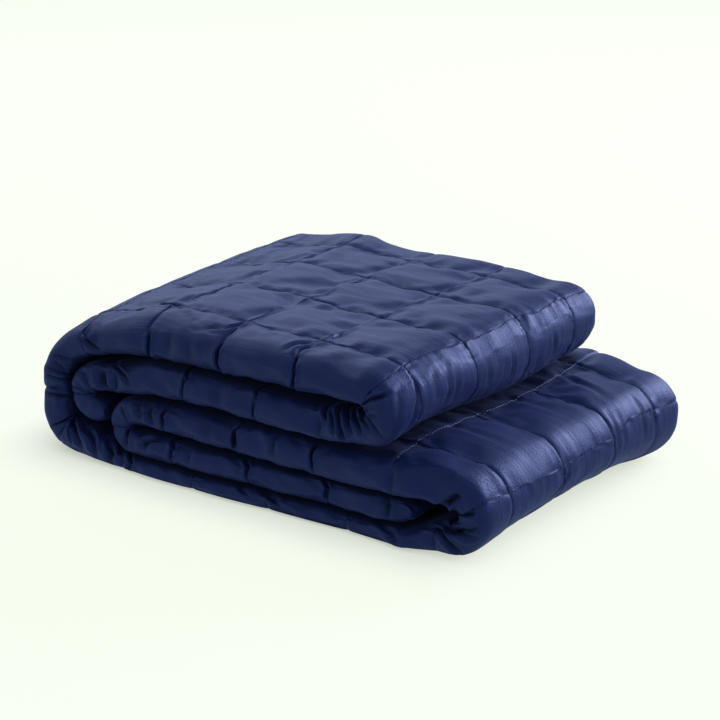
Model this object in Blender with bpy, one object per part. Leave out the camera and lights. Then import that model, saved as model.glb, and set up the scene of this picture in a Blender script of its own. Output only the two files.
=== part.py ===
"""A weighted blanket, quilted in squares and folded into one soft bundle.

The blanket is folded in four across its width, so it becomes a long padded strip, and the strip is then
folded along its length into five layers.  It is one closed solid: a section that runs back and forth
through its layers, with the quilting raised in its faces.  Lengths are in squares of the quilting, which
SQUARE turns into metres.  X runs along the layers, Y from the front folds to the back folds, Z up, and the
origin is at the middle of the bottom face.
"""

import math
from collections import namedtuple

import bmesh
import bpy
import numpy as np

# Driving dimensions
SQUARE = 0.0762  # side of one quilted square in metres, 3 inches
SQUARES_DEEP = 4.0  # squares from the front folds to the back folds
INNER_SEAM_DEPTH = 0.018  # how far a sewn line lies below the crown of its squares on an inner face
EDGE_PINCH = 0.045  # how far a sewn line draws in the front and back folds
EDGE_ROUND = 0.22  # how far the rounding of the front and back folds reaches in
EDGE_STOP = 0.12  # place of a row of points between the outermost sewn lines and that rounding
EDGE_FLAT_SHARE = 0.24  # share of the square round a fold that lies flat on either side of it
BROW_REACH = 0.50  # how far the long slope at the front of the top layer reaches in
BROW_SLANT = 1.30  # power of its outline: 1 is an ellipse, 2 a straight slope
BACK_ROW = -0.10  # how far the last lengthwise sewn line lies from its even place
CROWN_POWER = 0.40  # under 1 gives full squares with narrow valleys

# How finely the strip is divided
CELL_STOPS = (0.0, 0.15, 0.5, 0.85)  # places along a square with a row of points
FOLD_SLOPES = (60.0, 30.0, 0.0, -30.0, -60.0)  # slopes of the points round the front and back folds
TURN_STEP = math.radians(26.0)  # most turn between two rows of points
MIN_STEP = 0.07  # least distance between two rows of points
FINE_STEP = 0.01  # spacing of the samples that the strip's course is worked out from
WELD_DISTANCE = 1e-6  # metres, within which points of the grid's two long edges are joined
EndRow = namedtuple("EndRow", "distance share")  # distance from a free end, share of the full thickness
END_ROWS = (EndRow(0.0, 0.35), EndRow(0.03, 0.62), EndRow(0.10, 0.90))
END_REACH = 0.20  # distance from a free end at which the strip has its full thickness

# The strip, from its free end inside the lower right fold to its free end under the upper left fold.
# run: straight length.  rise: how far the middle of the layer climbs over that run.  turn: degrees, left
# is positive.  radius: of the turn, at the middle of the layer.  thick, shift, half, depth: thickness,
# shift to the back, half of the width across, and depth of the sewn lines on the left face, all at the end
# of the row.  seam: the x of one of the sewn lines that cross the run.  brow: how much the front of the
# left face is one long slope, at the end of the row.
Stretch = namedtuple("Stretch", "name run rise turn radius thick shift half depth seam brow", defaults=(0.0,))
START = {"x": 3.30, "z": 0.380, "thick": 0.26, "shift": 0.22, "half": 1.92, "depth": 0.02, "brow": 0.0}
STRIP = (
    Stretch("inner_end", 0.50, -0.020, 0, 0, 0.29, 0.20, 1.95, 0.02, None),
    Stretch("inner_layer", 3.19, 0.00, 0, 0, 0.30, 0.02, 1.99, 0.02, 0.20),
    Stretch("left_inner_fold", 0, 0, -180, 0.19, 0.34, 0.02, 1.99, 0.02, None),
    Stretch("middle_layer", 3.30, 0.00, 0, 0, 0.42, 0.21, 2.03, 0.02, 0.10),
    Stretch("middle_right", 0.87, 0.02, 0, 0, 0.40, 0.24, 1.98, 0.040, None),
    Stretch("lower_right_brow", 0, 0, -90, 0.22, 0.37, 0.26, 1.96, 0.035, None),
    Stretch("lower_right_heel", 0, 0, -90, 0.335, 0.35, 0.24, 1.92, 0.00, None),
    Stretch("bottom_right", 0.55, -0.112, 0, 0, 0.19, 0.20, 1.95, 0.00, None),
    Stretch("bottom_layer", 3.50, 0.00, 0, 0, 0.19, 0.01, 1.99, 0.00, 0.49),
    Stretch("bottom_left", 0.88, 0.125, 0, 0, 0.44, 0.00, 2.00, 0.00, None),
    Stretch("outer_low_corner", 0, 0, -90, 0.32, 0.42, 0.00, 2.00, 0.035, None),
    Stretch("outer_wall", 0.38, 0.00, 0, 0, 0.41, 0.00, 2.00, 0.040, None),
    Stretch("outer_high_corner", 0, 0, -90, 0.66, 0.45, 0.00, 2.00, 0.032, None, 0.80),
    Stretch("top_left", 1.08, 0.125, 0, 0, 0.54, 0.00, 2.00, 0.034, None, 1.00),
    Stretch("top_layer", 2.64, 0.03, 0, 0, 0.43, 0.00, 2.00, 0.036, 0.0, 0.45),
    Stretch("upper_right_fold", 0, 0, -180, 0.24, 0.41, -0.03, 1.89, 0.03, None),
    Stretch("second_right", 0.60, -0.055, 0, 0, 0.39, 0.00, 1.98, 0.02, None),
    Stretch("second_layer", 1.76, 0.00, 0, 0, 0.38, 0.00, 1.99, 0.02, 0.42),
    Stretch("second_left", 1.38, -0.125, 0, 0, 0.36, 0.00, 1.99, 0.02, None),
    Stretch("left_curl", 0, 0, 180, 0.20, 0.35, 0.00, 1.98, 0.02, None),
    Stretch("tucked_end", 0.16, 0.00, 0, 0, 0.33, 0.00, 1.96, 0.02, None),
)
SLOPED = ("thick", "shift", "half", "depth", "brow")  # columns that change evenly over a row
SEAM_REACH = 6  # sewn lines looked for on either side of the one that a row of the table names
MOVED_SEAMS = {8: -0.10, 16: -0.25, 21: 0.17}  # how far these sewn lines lie from their even place, by their number
THICKNESSES = (0.38, 0.45)  # thicknesses of a layer that FULLNESS is given for
FULLNESS = (0.76, 0.95)  # power of the outline of its folds: 1 is an ellipse, less is squarer
UNDER_FULLNESS = 0.68  # the same for the right face's side of the folds
Sag = namedtuple("Sag", "name x y reach_x reach_y share")  # a place where the layers lie lower or higher
SAGS = (
    Sag("left_front", -1.70, -0.60, 1.10, 1.70, -0.110),
    Sag("back_left", -0.50, 3.60, 0.70, 0.80, 0.040),
    Sag("back_middle", 0.75, 3.70, 0.55, 0.80, -0.022),
    Sag("back_right", 4.20, 3.80, 1.20, 1.60, 0.120),
    Sag("lower_right_back", 4.90, 3.80, 0.75, 1.20, -0.160),
    Sag("lower_right_corner", 3.95, 3.80, 0.45, 0.90, -0.075),
)
Lift = namedtuple("Lift", "x y reach_x reach_y rise fade")  # a place where the underside stands clear
RIGHT_LIFT = Lift(4.30, 1.55, 1.35, 1.95, 0.15, 0.60)  # rise at the bottom, none above the height of fade
# A place where the layers are drawn together: what lies at low_z rises by low, at high_z it sinks by high.
Waist = namedtuple("Waist", "name x y reach_x reach_y low_z low high_z high")
WAISTS = (
    Waist("upper_right_back", 2.95, 3.65, 0.55, 0.90, 0.98, 0.100, 1.95, 0.085),
    Waist("upper_right_front", 3.10, 0.55, 0.60, 0.60, 1.25, 0.100, 1.75, 0.0),
    Waist("step", 3.25, 1.60, 0.75, 1.90, 0.93, 0.045, 1.05, 0.0),
)
CENTRE_X = 1.1963  # x of the middle of the bottom face, in the table's frame
CENTRE_Y = 1.6169  # y of the same, with the first lengthwise sewn line at y = 0
MIDDLE_ROW = (SQUARES_DEEP - 1) / 2  # y of the middle of the strip, before its shift

CLOTH_COLOUR = (0.013, 0.020, 0.085, 1.0)
CLOTH_ROUGHNESS = 0.55

# slope: 90 on the left face, -90 on the right.  ahead: how far down the brow, from 0 to 1.
RingPoint = namedtuple("RingPoint", "across slope cell ahead", defaults=(0.0,))


def ease(share):
    """Goes from 0 to 1 with no corner at either end."""
    return share * share * (3.0 - 2.0 * share)


def step_count(stretch):
    """Returns how many fine samples a row of the table gets."""
    return max(2, round((stretch.run + abs(math.radians(stretch.turn)) * stretch.radius) / FINE_STEP))


def trace_course():
    """Walks along the strip and returns arrays of its course, one entry for each fine sample."""
    state = dict(START, heading=math.pi, outer=0.0)
    rows = {name: [] for name in state}
    for stretch in STRIP:
        turn = math.radians(stretch.turn)
        side = math.copysign(stretch.radius, turn)
        begin = dict(state)
        steps = step_count(stretch)
        for step in range(1, steps + 1):
            share = step / steps
            for name in SLOPED:
                state[name] = begin[name] + (getattr(stretch, name) - begin[name]) * ease(share)
            heading = begin["heading"] + turn * share
            ahead = stretch.run * share
            across = side * (math.sin(heading) - math.sin(begin["heading"]))
            climb = side * (math.cos(begin["heading"]) - math.cos(heading))
            state["x"] = begin["x"] + math.cos(begin["heading"]) * ahead + across
            state["z"] = begin["z"] + math.sin(begin["heading"]) * ahead + climb + stretch.rise * ease(share)
            state["heading"] = heading
            state["outer"] += (stretch.run + abs(turn) * (stretch.radius + state["thick"] / 2)) / steps
            for name in rows:
                rows[name].append(state[name])
    return {name: np.array(values) for name, values in rows.items()}


def sewn_lines(course):
    """Returns the lengths, along the outside of the folds, at which sewn lines cross the strip."""
    known = []
    first = 0
    for stretch in STRIP:
        last = first + step_count(stretch)
        if stretch.seam is not None:
            x = course["x"][first:last]
            wanted = stretch.seam + np.arange(-SEAM_REACH, SEAM_REACH + 1)
            inside = wanted[(wanted > x.min()) & (wanted < x.max())]
            order = np.argsort(x)
            known += sorted(np.interp(inside, x[order], course["outer"][first:last][order]))
        first = last
    lines = [known[0]]
    for line in known[1:]:
        squares = max(1, round(line - lines[-1]))
        lines += list(np.linspace(lines[-1], line, squares + 1)[1:])
    while lines[0] > 1.0:
        lines.insert(0, lines[0] - 1.0)
    while lines[-1] < course["outer"][-1] - 1.0:
        lines.append(lines[-1] + 1.0)
    for number, move in MOVED_SEAMS.items():
        lines[number] += move
    return np.array(lines)


def square_count(course, lines):
    """Returns, for each fine sample, how many squares it lies along the strip."""
    outer = course["outer"]
    count = np.interp(outer, lines, np.arange(len(lines), dtype=float))
    count = np.where(outer < lines[0], outer - lines[0], count)
    return np.where(outer > lines[-1], len(lines) - 1 + outer - lines[-1], count)


def station_places(course, count):
    """Returns the fine samples, as fractional indices, at which the strip gets a row of points."""
    index = np.arange(len(count), dtype=float)
    stops = [whole + part for whole in range(-1, math.ceil(count[-1])) for part in CELL_STOPS]
    inside = [stop for stop in stops if count[0] < stop < count[-1]]
    on_seam = dict(zip(np.interp(inside, count, index), (stop % 1.0 == 0.0 for stop in inside)))
    turned = np.concatenate(([0.0], np.cumsum(np.abs(np.diff(course["heading"])))))
    for angle in np.arange(TURN_STEP / 2, turned[-1], TURN_STEP):
        on_seam.setdefault(np.interp(angle, turned, index), False)
    near_end = [row.distance / FINE_STEP for row in END_ROWS]
    reach = near_end[-1] + MIN_STEP / FINE_STEP
    kept = []
    for place in sorted(on_seam):
        if not reach < place < index[-1] - reach:
            continue
        if kept and place - kept[-1] < MIN_STEP / FINE_STEP:
            if not on_seam[place]:
                continue
            kept.pop()
        kept.append(place)
    return near_end + kept + [index[-1] - place for place in reversed(near_end)]


def strip_rows(course, count, places):
    """Returns the course's values at each station, with the free ends rounded off."""
    index = np.arange(len(count), dtype=float)
    distances = [row.distance for row in END_ROWS] + [END_REACH]
    shares = [row.share for row in END_ROWS] + [1.0]
    rows = []
    for place in places:
        row = {name: float(np.interp(place, index, values)) for name, values in course.items()}
        row["count"] = float(np.interp(place, index, count))
        row["share"] = float(np.interp(min(place, index[-1] - place) * FINE_STEP, distances, shares))
        rows.append(row)
    return rows


def ring_points():
    """Returns the points of one row round the strip: left face, back fold, right face, front fold."""
    half = SQUARES_DEEP / 2
    lines = np.arange(SQUARES_DEEP) - MIDDLE_ROW
    face = [RingPoint(line + part, 90.0, part) for line in lines[:-1] for part in CELL_STOPS]
    rim = half - EDGE_ROUND
    margin = [RingPoint(lines[-1] + EDGE_STOP, 90.0, EDGE_STOP), RingPoint(rim, 90.0, EDGE_FLAT_SHARE)]
    face = [point._replace(across=-point.across) for point in reversed(margin)] + face
    face += [RingPoint(lines[-1], 90.0, 0.0)] + margin
    round_share = 1.0 - 2 * EDGE_FLAT_SHARE
    cells = [EDGE_FLAT_SHARE + round_share * (90.0 - slope) / 180.0 for slope in FOLD_SLOPES]
    fold = [RingPoint(half, slope, cell) for slope, cell in zip(FOLD_SLOPES, cells)]
    other_face = [point._replace(slope=-90.0) for point in reversed(face)]
    front_fold = [point._replace(across=-half) for point in reversed(fold)]
    return [with_brow(point) for point in face + fold + other_face + front_fold]


def with_brow(point):
    """Returns the point with its place on the long slope that runs down to the foremost point."""
    if point.across > 0 or point.slope < 0:
        return point
    rim = SQUARES_DEEP / 2 - EDGE_ROUND
    round_length = math.pi * EDGE_ROUND
    reached = max(0.0, -point.across - SQUARES_DEEP / 2 + BROW_REACH)
    if point.slope < 90.0:
        reached = rim - SQUARES_DEEP / 2 + BROW_REACH + round_length * (90.0 - point.slope) / 180.0
    return point._replace(ahead=reached / (BROW_REACH - EDGE_ROUND + round_length / 2))


def crown(along, across):
    """Height of the padding within one square, from 0 on a sewn line to 1 in the middle."""
    wave = math.sin(math.pi * (along % 1.0)) * math.sin(math.pi * (across % 1.0))
    return max(0.0, wave) ** CROWN_POWER


def height_share(x, y):
    """Returns how high the layers lie at this place, as a share of their height on a level stack."""
    share = 1.0
    for sag in SAGS:
        share += sag.share * math.exp(-(((x - sag.x) / sag.reach_x) ** 2) - ((y - sag.y) / sag.reach_y) ** 2)
    return share


def lifted(x, y, z):
    """Returns how far a place on the lower right fold stands higher than on a level surface."""
    lift = RIGHT_LIFT
    away = ((x - lift.x) / lift.reach_x) ** 2 + ((y - lift.y) / lift.reach_y) ** 2
    return lift.rise * ease(max(0.0, 1.0 - away)) * max(0.0, 1.0 - z / lift.fade)


def narrowed(x, y, z):
    """Returns how far a place moves up where the layers are drawn together."""
    moved = 0.0
    for waist in WAISTS:
        away = ((x - waist.x) / waist.reach_x) ** 2 + ((y - waist.y) / waist.reach_y) ** 2
        rise = float(np.interp(z, (0.0, waist.low_z, waist.high_z), (0.0, waist.low, -waist.high)))
        moved += rise * math.exp(-away)
    return moved


def section_place(row, point):
    """Returns a ring point's distance across, distance up and slope, before the quilting sinks it."""
    half_thick = row["thick"] / 2 * row["share"]
    last_line = SQUARES_DEEP / 2 - 0.5
    across = point.across + BACK_ROW * (point.across == last_line)
    across *= row["half"] / (SQUARES_DEEP / 2)
    slope = math.radians(point.slope)
    fullness = float(np.interp(row["thick"], THICKNESSES, FULLNESS)) if slope >= 0 else UNDER_FULLNESS
    if abs(point.slope) < 90.0:
        reach = EDGE_ROUND * (1.0 - math.cos(slope) ** fullness)
        across = math.copysign(row["half"] - reach, point.across)
    up = half_thick * math.copysign(abs(math.sin(slope)) ** fullness, slope)
    if point.ahead > 0.0:
        brow_slope = math.pi / 2 * (1.0 - point.ahead)
        brow_across = BROW_REACH * (1.0 - math.cos(brow_slope) ** BROW_SLANT) - row["half"]
        brow_up = half_thick * math.sin(brow_slope) ** BROW_SLANT
        across += (brow_across - across) * row["brow"]
        up += (brow_up - up) * row["brow"]
        slope += (brow_slope - slope) * row["brow"]
    return across, up, slope


def place_point(row, point):
    """Returns where a point of the ring lies, in metres, for one row of the strip."""
    across, up, slope = section_place(row, point)
    outward = math.copysign(1.0, point.across)
    face_depth = row["depth"] if slope > 0 else INNER_SEAM_DEPTH
    depth = face_depth * math.sin(slope) ** 2 + EDGE_PINCH * math.cos(slope) ** 2
    sunk = depth * row["share"] * (1.0 - crown(row["count"], point.cell))
    across -= outward * sunk * math.cos(slope)
    up -= sunk * math.sin(slope)
    x = row["x"] - math.sin(row["heading"]) * up
    y = MIDDLE_ROW + row["shift"] + across
    z = max(0.0, row["z"] + math.cos(row["heading"]) * up) * height_share(x, y)
    z += lifted(x, y, z)
    z += narrowed(x, y, z)
    return (x - CENTRE_X) * SQUARE, (y - CENTRE_Y) * SQUARE, z * SQUARE


def loft(rows, ring):
    """Bends a flat grid into the strip, joins its long edges and closes its two free ends."""
    mesh = bmesh.new()
    bmesh.ops.create_grid(mesh, x_segments=len(rows) - 1, y_segments=len(ring), size=1.0)
    ends = {0: {}, len(rows) - 1: {}}
    for vertex in mesh.verts:
        station = round((vertex.co.x + 1.0) / 2.0 * (len(rows) - 1))
        number = round((vertex.co.y + 1.0) / 2.0 * len(ring))
        vertex.co = place_point(rows[station], ring[number % len(ring)])
        if station in ends and number < len(ring):
            ends[station][number] = vertex
    for rim in ends.values():
        close_end(mesh, [rim[number] for number in range(len(ring))])
    bmesh.ops.remove_doubles(mesh, verts=mesh.verts, dist=WELD_DISTANCE)
    bmesh.ops.recalc_face_normals(mesh, faces=mesh.faces)
    return mesh


def close_end(mesh, rim):
    """Closes a free end with a row of faces that joins its left face to its right face."""
    half = len(rim) // 2
    tip = len(FOLD_SLOPES) // 2
    start = len(rim) - tip - 1
    pairs = [(rim[(start + step) % len(rim)], rim[start - step]) for step in range(half + 1)]
    for (left, right), (next_left, next_right) in zip(pairs, pairs[1:]):
        corners = [left, next_left, next_right, right]
        mesh.faces.new(list(dict.fromkeys(corners)))


def cloth_material():
    """Returns the plain navy material of the cloth."""
    material = bpy.data.materials.new("navy_cloth")
    material.use_nodes = True
    shader = material.node_tree.nodes["Principled BSDF"]
    shader.inputs["Base Color"].default_value = CLOTH_COLOUR
    shader.inputs["Roughness"].default_value = CLOTH_ROUGHNESS
    shader.inputs["Metallic"].default_value = 0.0
    return material


def build_blanket(collection):
    """Makes the folded blanket and links it to the collection."""
    course = trace_course()
    count = square_count(course, sewn_lines(course))
    rows = strip_rows(course, count, station_places(course, count))
    shape = loft(rows, ring_points())
    data = bpy.data.meshes.new("blanket")
    shape.to_mesh(data)
    shape.free()
    data.shade_smooth()
    data.materials.append(cloth_material())
    blanket = bpy.data.objects.new("blanket", data)
    collection.objects.link(blanket)
    return blanket


def main():
    for leftover in list(bpy.data.objects):
        bpy.data.objects.remove(leftover)
    collection = bpy.data.collections.new("weighted_blanket")
    bpy.context.scene.collection.children.link(collection)
    build_blanket(collection)


if __name__ == "__main__":
    main()
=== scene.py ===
"""Visual model of a quilted weighted blanket, folded into a low bundle of five soft layers.

The blanket is sewn through in squares.  It was folded in four across its width and then along its length,
so it is a padded strip that runs back and forth through its layers.  Lengths in the tables are in squares
of the quilting, which QuiltedBlanket.square turns into metres: x runs along the layers, y from the front
folds to the back folds, z up.
"""

import logging
import math
from dataclasses import dataclass, field
from enum import Enum

import bmesh
import bpy
import numpy as np
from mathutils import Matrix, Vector
from mathutils.bvhtree import BVHTree


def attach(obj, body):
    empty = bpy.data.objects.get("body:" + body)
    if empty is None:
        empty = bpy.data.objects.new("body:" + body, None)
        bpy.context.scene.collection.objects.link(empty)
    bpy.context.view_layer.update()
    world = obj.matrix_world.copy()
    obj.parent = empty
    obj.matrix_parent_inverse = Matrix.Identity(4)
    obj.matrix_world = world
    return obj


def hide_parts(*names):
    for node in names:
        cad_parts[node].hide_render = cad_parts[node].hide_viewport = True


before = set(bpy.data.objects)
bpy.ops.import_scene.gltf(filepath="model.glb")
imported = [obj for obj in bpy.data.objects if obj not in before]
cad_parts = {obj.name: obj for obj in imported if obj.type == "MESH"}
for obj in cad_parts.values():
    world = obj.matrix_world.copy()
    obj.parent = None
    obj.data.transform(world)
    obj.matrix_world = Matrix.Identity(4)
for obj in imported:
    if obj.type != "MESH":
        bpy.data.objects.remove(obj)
log = logging.getLogger("weighted_blanket")

Array = np.ndarray
NO_LENGTH = 1e-6
FACE_SLOPE = 90.0
ON_FACE = 89.0


class Thread(Enum):
    """The two threads of the stitching."""

    NAVY = "navy_thread"
    PALE = "pale_thread"


@dataclass(frozen=True)
class Stretch:
    """One straight run or one turn of the strip.

    run is a straight length, rise how far the middle of the layer climbs over it, turn an angle in degrees
    (left is positive) and radius that of the turn.  thick, shift, half and depth hold at the stretch's end:
    thickness, shift to the back, half of the width across, and depth of the sewn lines on the outer face.
    seam is the x of a sewn line that crosses the run.  brow is how much the front edge of the upper side is
    one long slope from the first sewn line down, from 0 to 1.
    """

    name: str
    run: float
    rise: float
    turn: float
    radius: float
    thick: float
    shift: float
    half: float
    depth: float
    seam: float | None = None
    brow: float = 0.0


@dataclass(frozen=True)
class Spot:
    """A place on the bundle seen from above, and how far it reaches along x and y."""

    name: str
    x: float
    y: float
    reach_x: float
    reach_y: float

    def away(self, x: Array, y: Array) -> Array:
        """Returns the square of each place's distance from the middle, counted in reaches."""
        return ((x - self.x) / self.reach_x) ** 2 + ((y - self.y) / self.reach_y) ** 2


@dataclass(frozen=True)
class Sag(Spot):
    """A place where the layers lie lower or higher than on a level stack, by a share of their height."""

    share: float


@dataclass(frozen=True)
class Lift(Spot):
    """A place where the underside stands clear: rise at the bottom, none above the height of fade."""

    rise: float
    fade: float


@dataclass(frozen=True)
class Waist(Spot):
    """A place where the layers are drawn together: what is low rises by low, what is high sinks by high."""

    low_z: float
    low: float
    high_z: float
    high: float


@dataclass(frozen=True)
class Crease:
    """A soft trough along a path on the cloth, with a low ridge on either side of it.

    width and depth are in squares.  Each place of the path is (along, round): along counts sewn lines from
    the free end inside the lower right fold, round is the distance round the section from the middle of the
    outer face, in squares and negative towards the front.  The trough reaches so many widths, is as steep
    as its power, has ridges of a share of its depth beside it and fades out over a share of its path.
    """

    name: str
    width: float
    depth: float
    path: tuple[tuple[float, float], ...]
    reach: float = 5.0
    steepness: float = 1.5
    ridge: float = 0.34
    ridge_place: float = 2.1
    end_share: float = 0.02

    def press(self, along: Array, around: Array, scale: float) -> Array:
        """Works out how deep the crease presses the cloth.

        Args:
            along: count of each point along the strip.
            around: distance of each point round the section.
            scale: depth in metres of a crease with a depth of 1.

        Returns:
            The depth at each point in metres; ridges are below zero.
        """
        path = np.array(self.path)
        steps = np.diff(path, axis=0)
        lengths = np.linalg.norm(steps, axis=1)
        reached = np.concatenate(([0.0], np.cumsum(lengths)))
        low, high = path.min(axis=0) - self.reach * self.width, path.max(axis=0) + self.reach * self.width
        near = (along > low[0]) & (along < high[0]) & (around > low[1]) & (around < high[1])
        offset = np.stack((along[near], around[near]), axis=1)
        best = np.full(len(offset), np.inf)
        share = np.zeros(len(offset))
        for start, step, length, before in zip(path, steps, lengths, reached):
            ahead = np.clip((offset - start) @ step / length**2, 0.0, 1.0)
            away = np.linalg.norm(offset - start - ahead[:, None] * step, axis=1)
            closer = away < best
            best = np.where(closer, away, best)
            share = np.where(closer, (before + ahead * length) / reached[-1], share)
        aside = best / self.width
        fade = np.sqrt(np.sin(math.pi * np.clip(share, self.end_share, 1.0 - self.end_share)))
        trough = np.exp(-(aside**self.steepness))
        profile = trough - self.ridge * np.exp(-((aside - self.ridge_place) ** 2))
        pressed = np.zeros(len(along))
        pressed[near] = self.depth * scale * profile * fade
        return pressed


STRIP: tuple[Stretch, ...] = (
    Stretch("inner_end", 0.50, -0.020, 0, 0, 0.29, 0.20, 1.95, 0.02),
    Stretch("inner_layer", 3.19, 0.00, 0, 0, 0.30, 0.02, 1.99, 0.02, 0.20),
    Stretch("left_inner_fold", 0, 0, -180, 0.19, 0.34, 0.02, 1.99, 0.02),
    Stretch("middle_layer", 3.30, 0.00, 0, 0, 0.42, 0.21, 2.03, 0.02, 0.10),
    Stretch("middle_right", 0.87, 0.02, 0, 0, 0.40, 0.24, 1.98, 0.040),
    Stretch("lower_right_brow", 0, 0, -90, 0.22, 0.37, 0.26, 1.96, 0.035),
    Stretch("lower_right_heel", 0, 0, -90, 0.335, 0.35, 0.24, 1.92, 0.00),
    Stretch("bottom_right", 0.55, -0.112, 0, 0, 0.19, 0.20, 1.95, 0.00),
    Stretch("bottom_layer", 3.50, 0.00, 0, 0, 0.19, 0.01, 1.99, 0.00, 0.49),
    Stretch("bottom_left", 0.88, 0.125, 0, 0, 0.44, 0.00, 2.00, 0.00),
    Stretch("outer_low_corner", 0, 0, -90, 0.32, 0.42, 0.00, 2.00, 0.035),
    Stretch("outer_wall", 0.38, 0.00, 0, 0, 0.41, 0.00, 2.00, 0.040),
    Stretch("outer_high_corner", 0, 0, -90, 0.66, 0.45, 0.00, 2.00, 0.032, None, 0.80),
    Stretch("top_left", 1.08, 0.125, 0, 0, 0.54, 0.00, 2.00, 0.034, None, 1.00),
    Stretch("top_layer", 2.64, 0.03, 0, 0, 0.43, 0.00, 2.00, 0.036, 0.0, 0.45),
    Stretch("upper_right_fold", 0, 0, -180, 0.24, 0.41, -0.03, 1.89, 0.03),
    Stretch("second_right", 0.60, -0.055, 0, 0, 0.39, 0.00, 1.98, 0.02),
    Stretch("second_layer", 1.76, 0.00, 0, 0, 0.38, 0.00, 1.99, 0.02, 0.42),
    Stretch("second_left", 1.38, -0.125, 0, 0, 0.36, 0.00, 1.99, 0.02),
    Stretch("left_curl", 0, 0, 180, 0.20, 0.35, 0.00, 1.98, 0.02),
    Stretch("tucked_end", 0.16, 0.00, 0, 0, 0.33, 0.00, 1.96, 0.02),
)

SAGS: tuple[Sag, ...] = (
    Sag("left_front", -1.70, -0.60, 1.10, 1.70, -0.110),
    Sag("back_left", -0.50, 3.60, 0.70, 0.80, 0.040),
    Sag("back_middle", 0.75, 3.70, 0.55, 0.80, -0.022),
    Sag("back_right", 4.20, 3.80, 1.20, 1.60, 0.120),
    Sag("lower_right_back", 4.90, 3.80, 0.75, 1.20, -0.160),
    Sag("lower_right_corner", 3.95, 3.80, 0.45, 0.90, -0.075),
)

RIGHT_LIFT = Lift("lower_right", 4.30, 1.55, 1.35, 1.95, 0.150, 0.60)

WAISTS: tuple[Waist, ...] = (
    Waist("upper_right_back", 2.95, 3.65, 0.55, 0.90, 0.98, 0.100, 1.95, 0.085),
    Waist("upper_right_front", 3.10, 0.55, 0.60, 0.60, 1.25, 0.100, 1.75, 0.0),
    Waist("step", 3.25, 1.60, 0.75, 1.90, 0.93, 0.045, 1.05, 0.0),
)

MOVED_SEAMS: dict[int, float] = {8: -0.10, 16: -0.25, 21: 0.17}


def ease(share: float | Array) -> float | Array:
    """Returns a share that goes from 0 to 1 with no corner at either end."""
    return share * share * (3.0 - 2.0 * share)


@dataclass(frozen=True)
class Pattern:
    """Smooth noise on a plane: cells in a unit of u and of v, which pattern, and where it starts."""

    u_cells: float
    v_cells: float
    seed: int
    u_start: float = 0.0
    v_start: float = 0.0
    size: int = 64

    def at(self, u: Array, v: Array, u_bow: Array | float = 0.0, v_bow: Array | float = 0.0) -> Array:
        """Returns the noise at each point.

        Args:
            u: first coordinate of each point.
            v: second coordinate of each point.
            u_bow: how many cells each point is moved along u.
            v_bow: how many cells each point is moved along v.

        Returns:
            A value from -1 to 1 for each point.
        """
        u = u * self.u_cells + self.u_start + u_bow
        v = v * self.v_cells + self.v_start + v_bow
        lattice = np.random.default_rng(self.seed).uniform(-1.0, 1.0, (self.size, self.size))
        left, low = np.floor(u).astype(int), np.floor(v).astype(int)
        part_u, part_v = ease(u - left), ease(v - low)
        near, far = left % self.size, (left + 1) % self.size
        under, over = low % self.size, (low + 1) % self.size
        below = lattice[near, under] * (1 - part_u) + lattice[far, under] * part_u
        above = lattice[near, over] * (1 - part_u) + lattice[far, over] * part_u
        return below * (1 - part_v) + above * part_v


def deselect_all() -> None:
    """Leaves no object selected, so that an operator acts on new objects only."""
    for item in bpy.context.selected_objects:
        item.select_set(False)


def apply_modifier(item: bpy.types.Object, modifier: bpy.types.Modifier) -> None:
    """Selects an object alone and applies one of its modifiers.

    Args:
        item: the object.
        modifier: its modifier.
    """
    deselect_all()
    item.select_set(True)
    bpy.context.view_layer.objects.active = item
    bpy.ops.object.modifier_apply(modifier=modifier.name)


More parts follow.
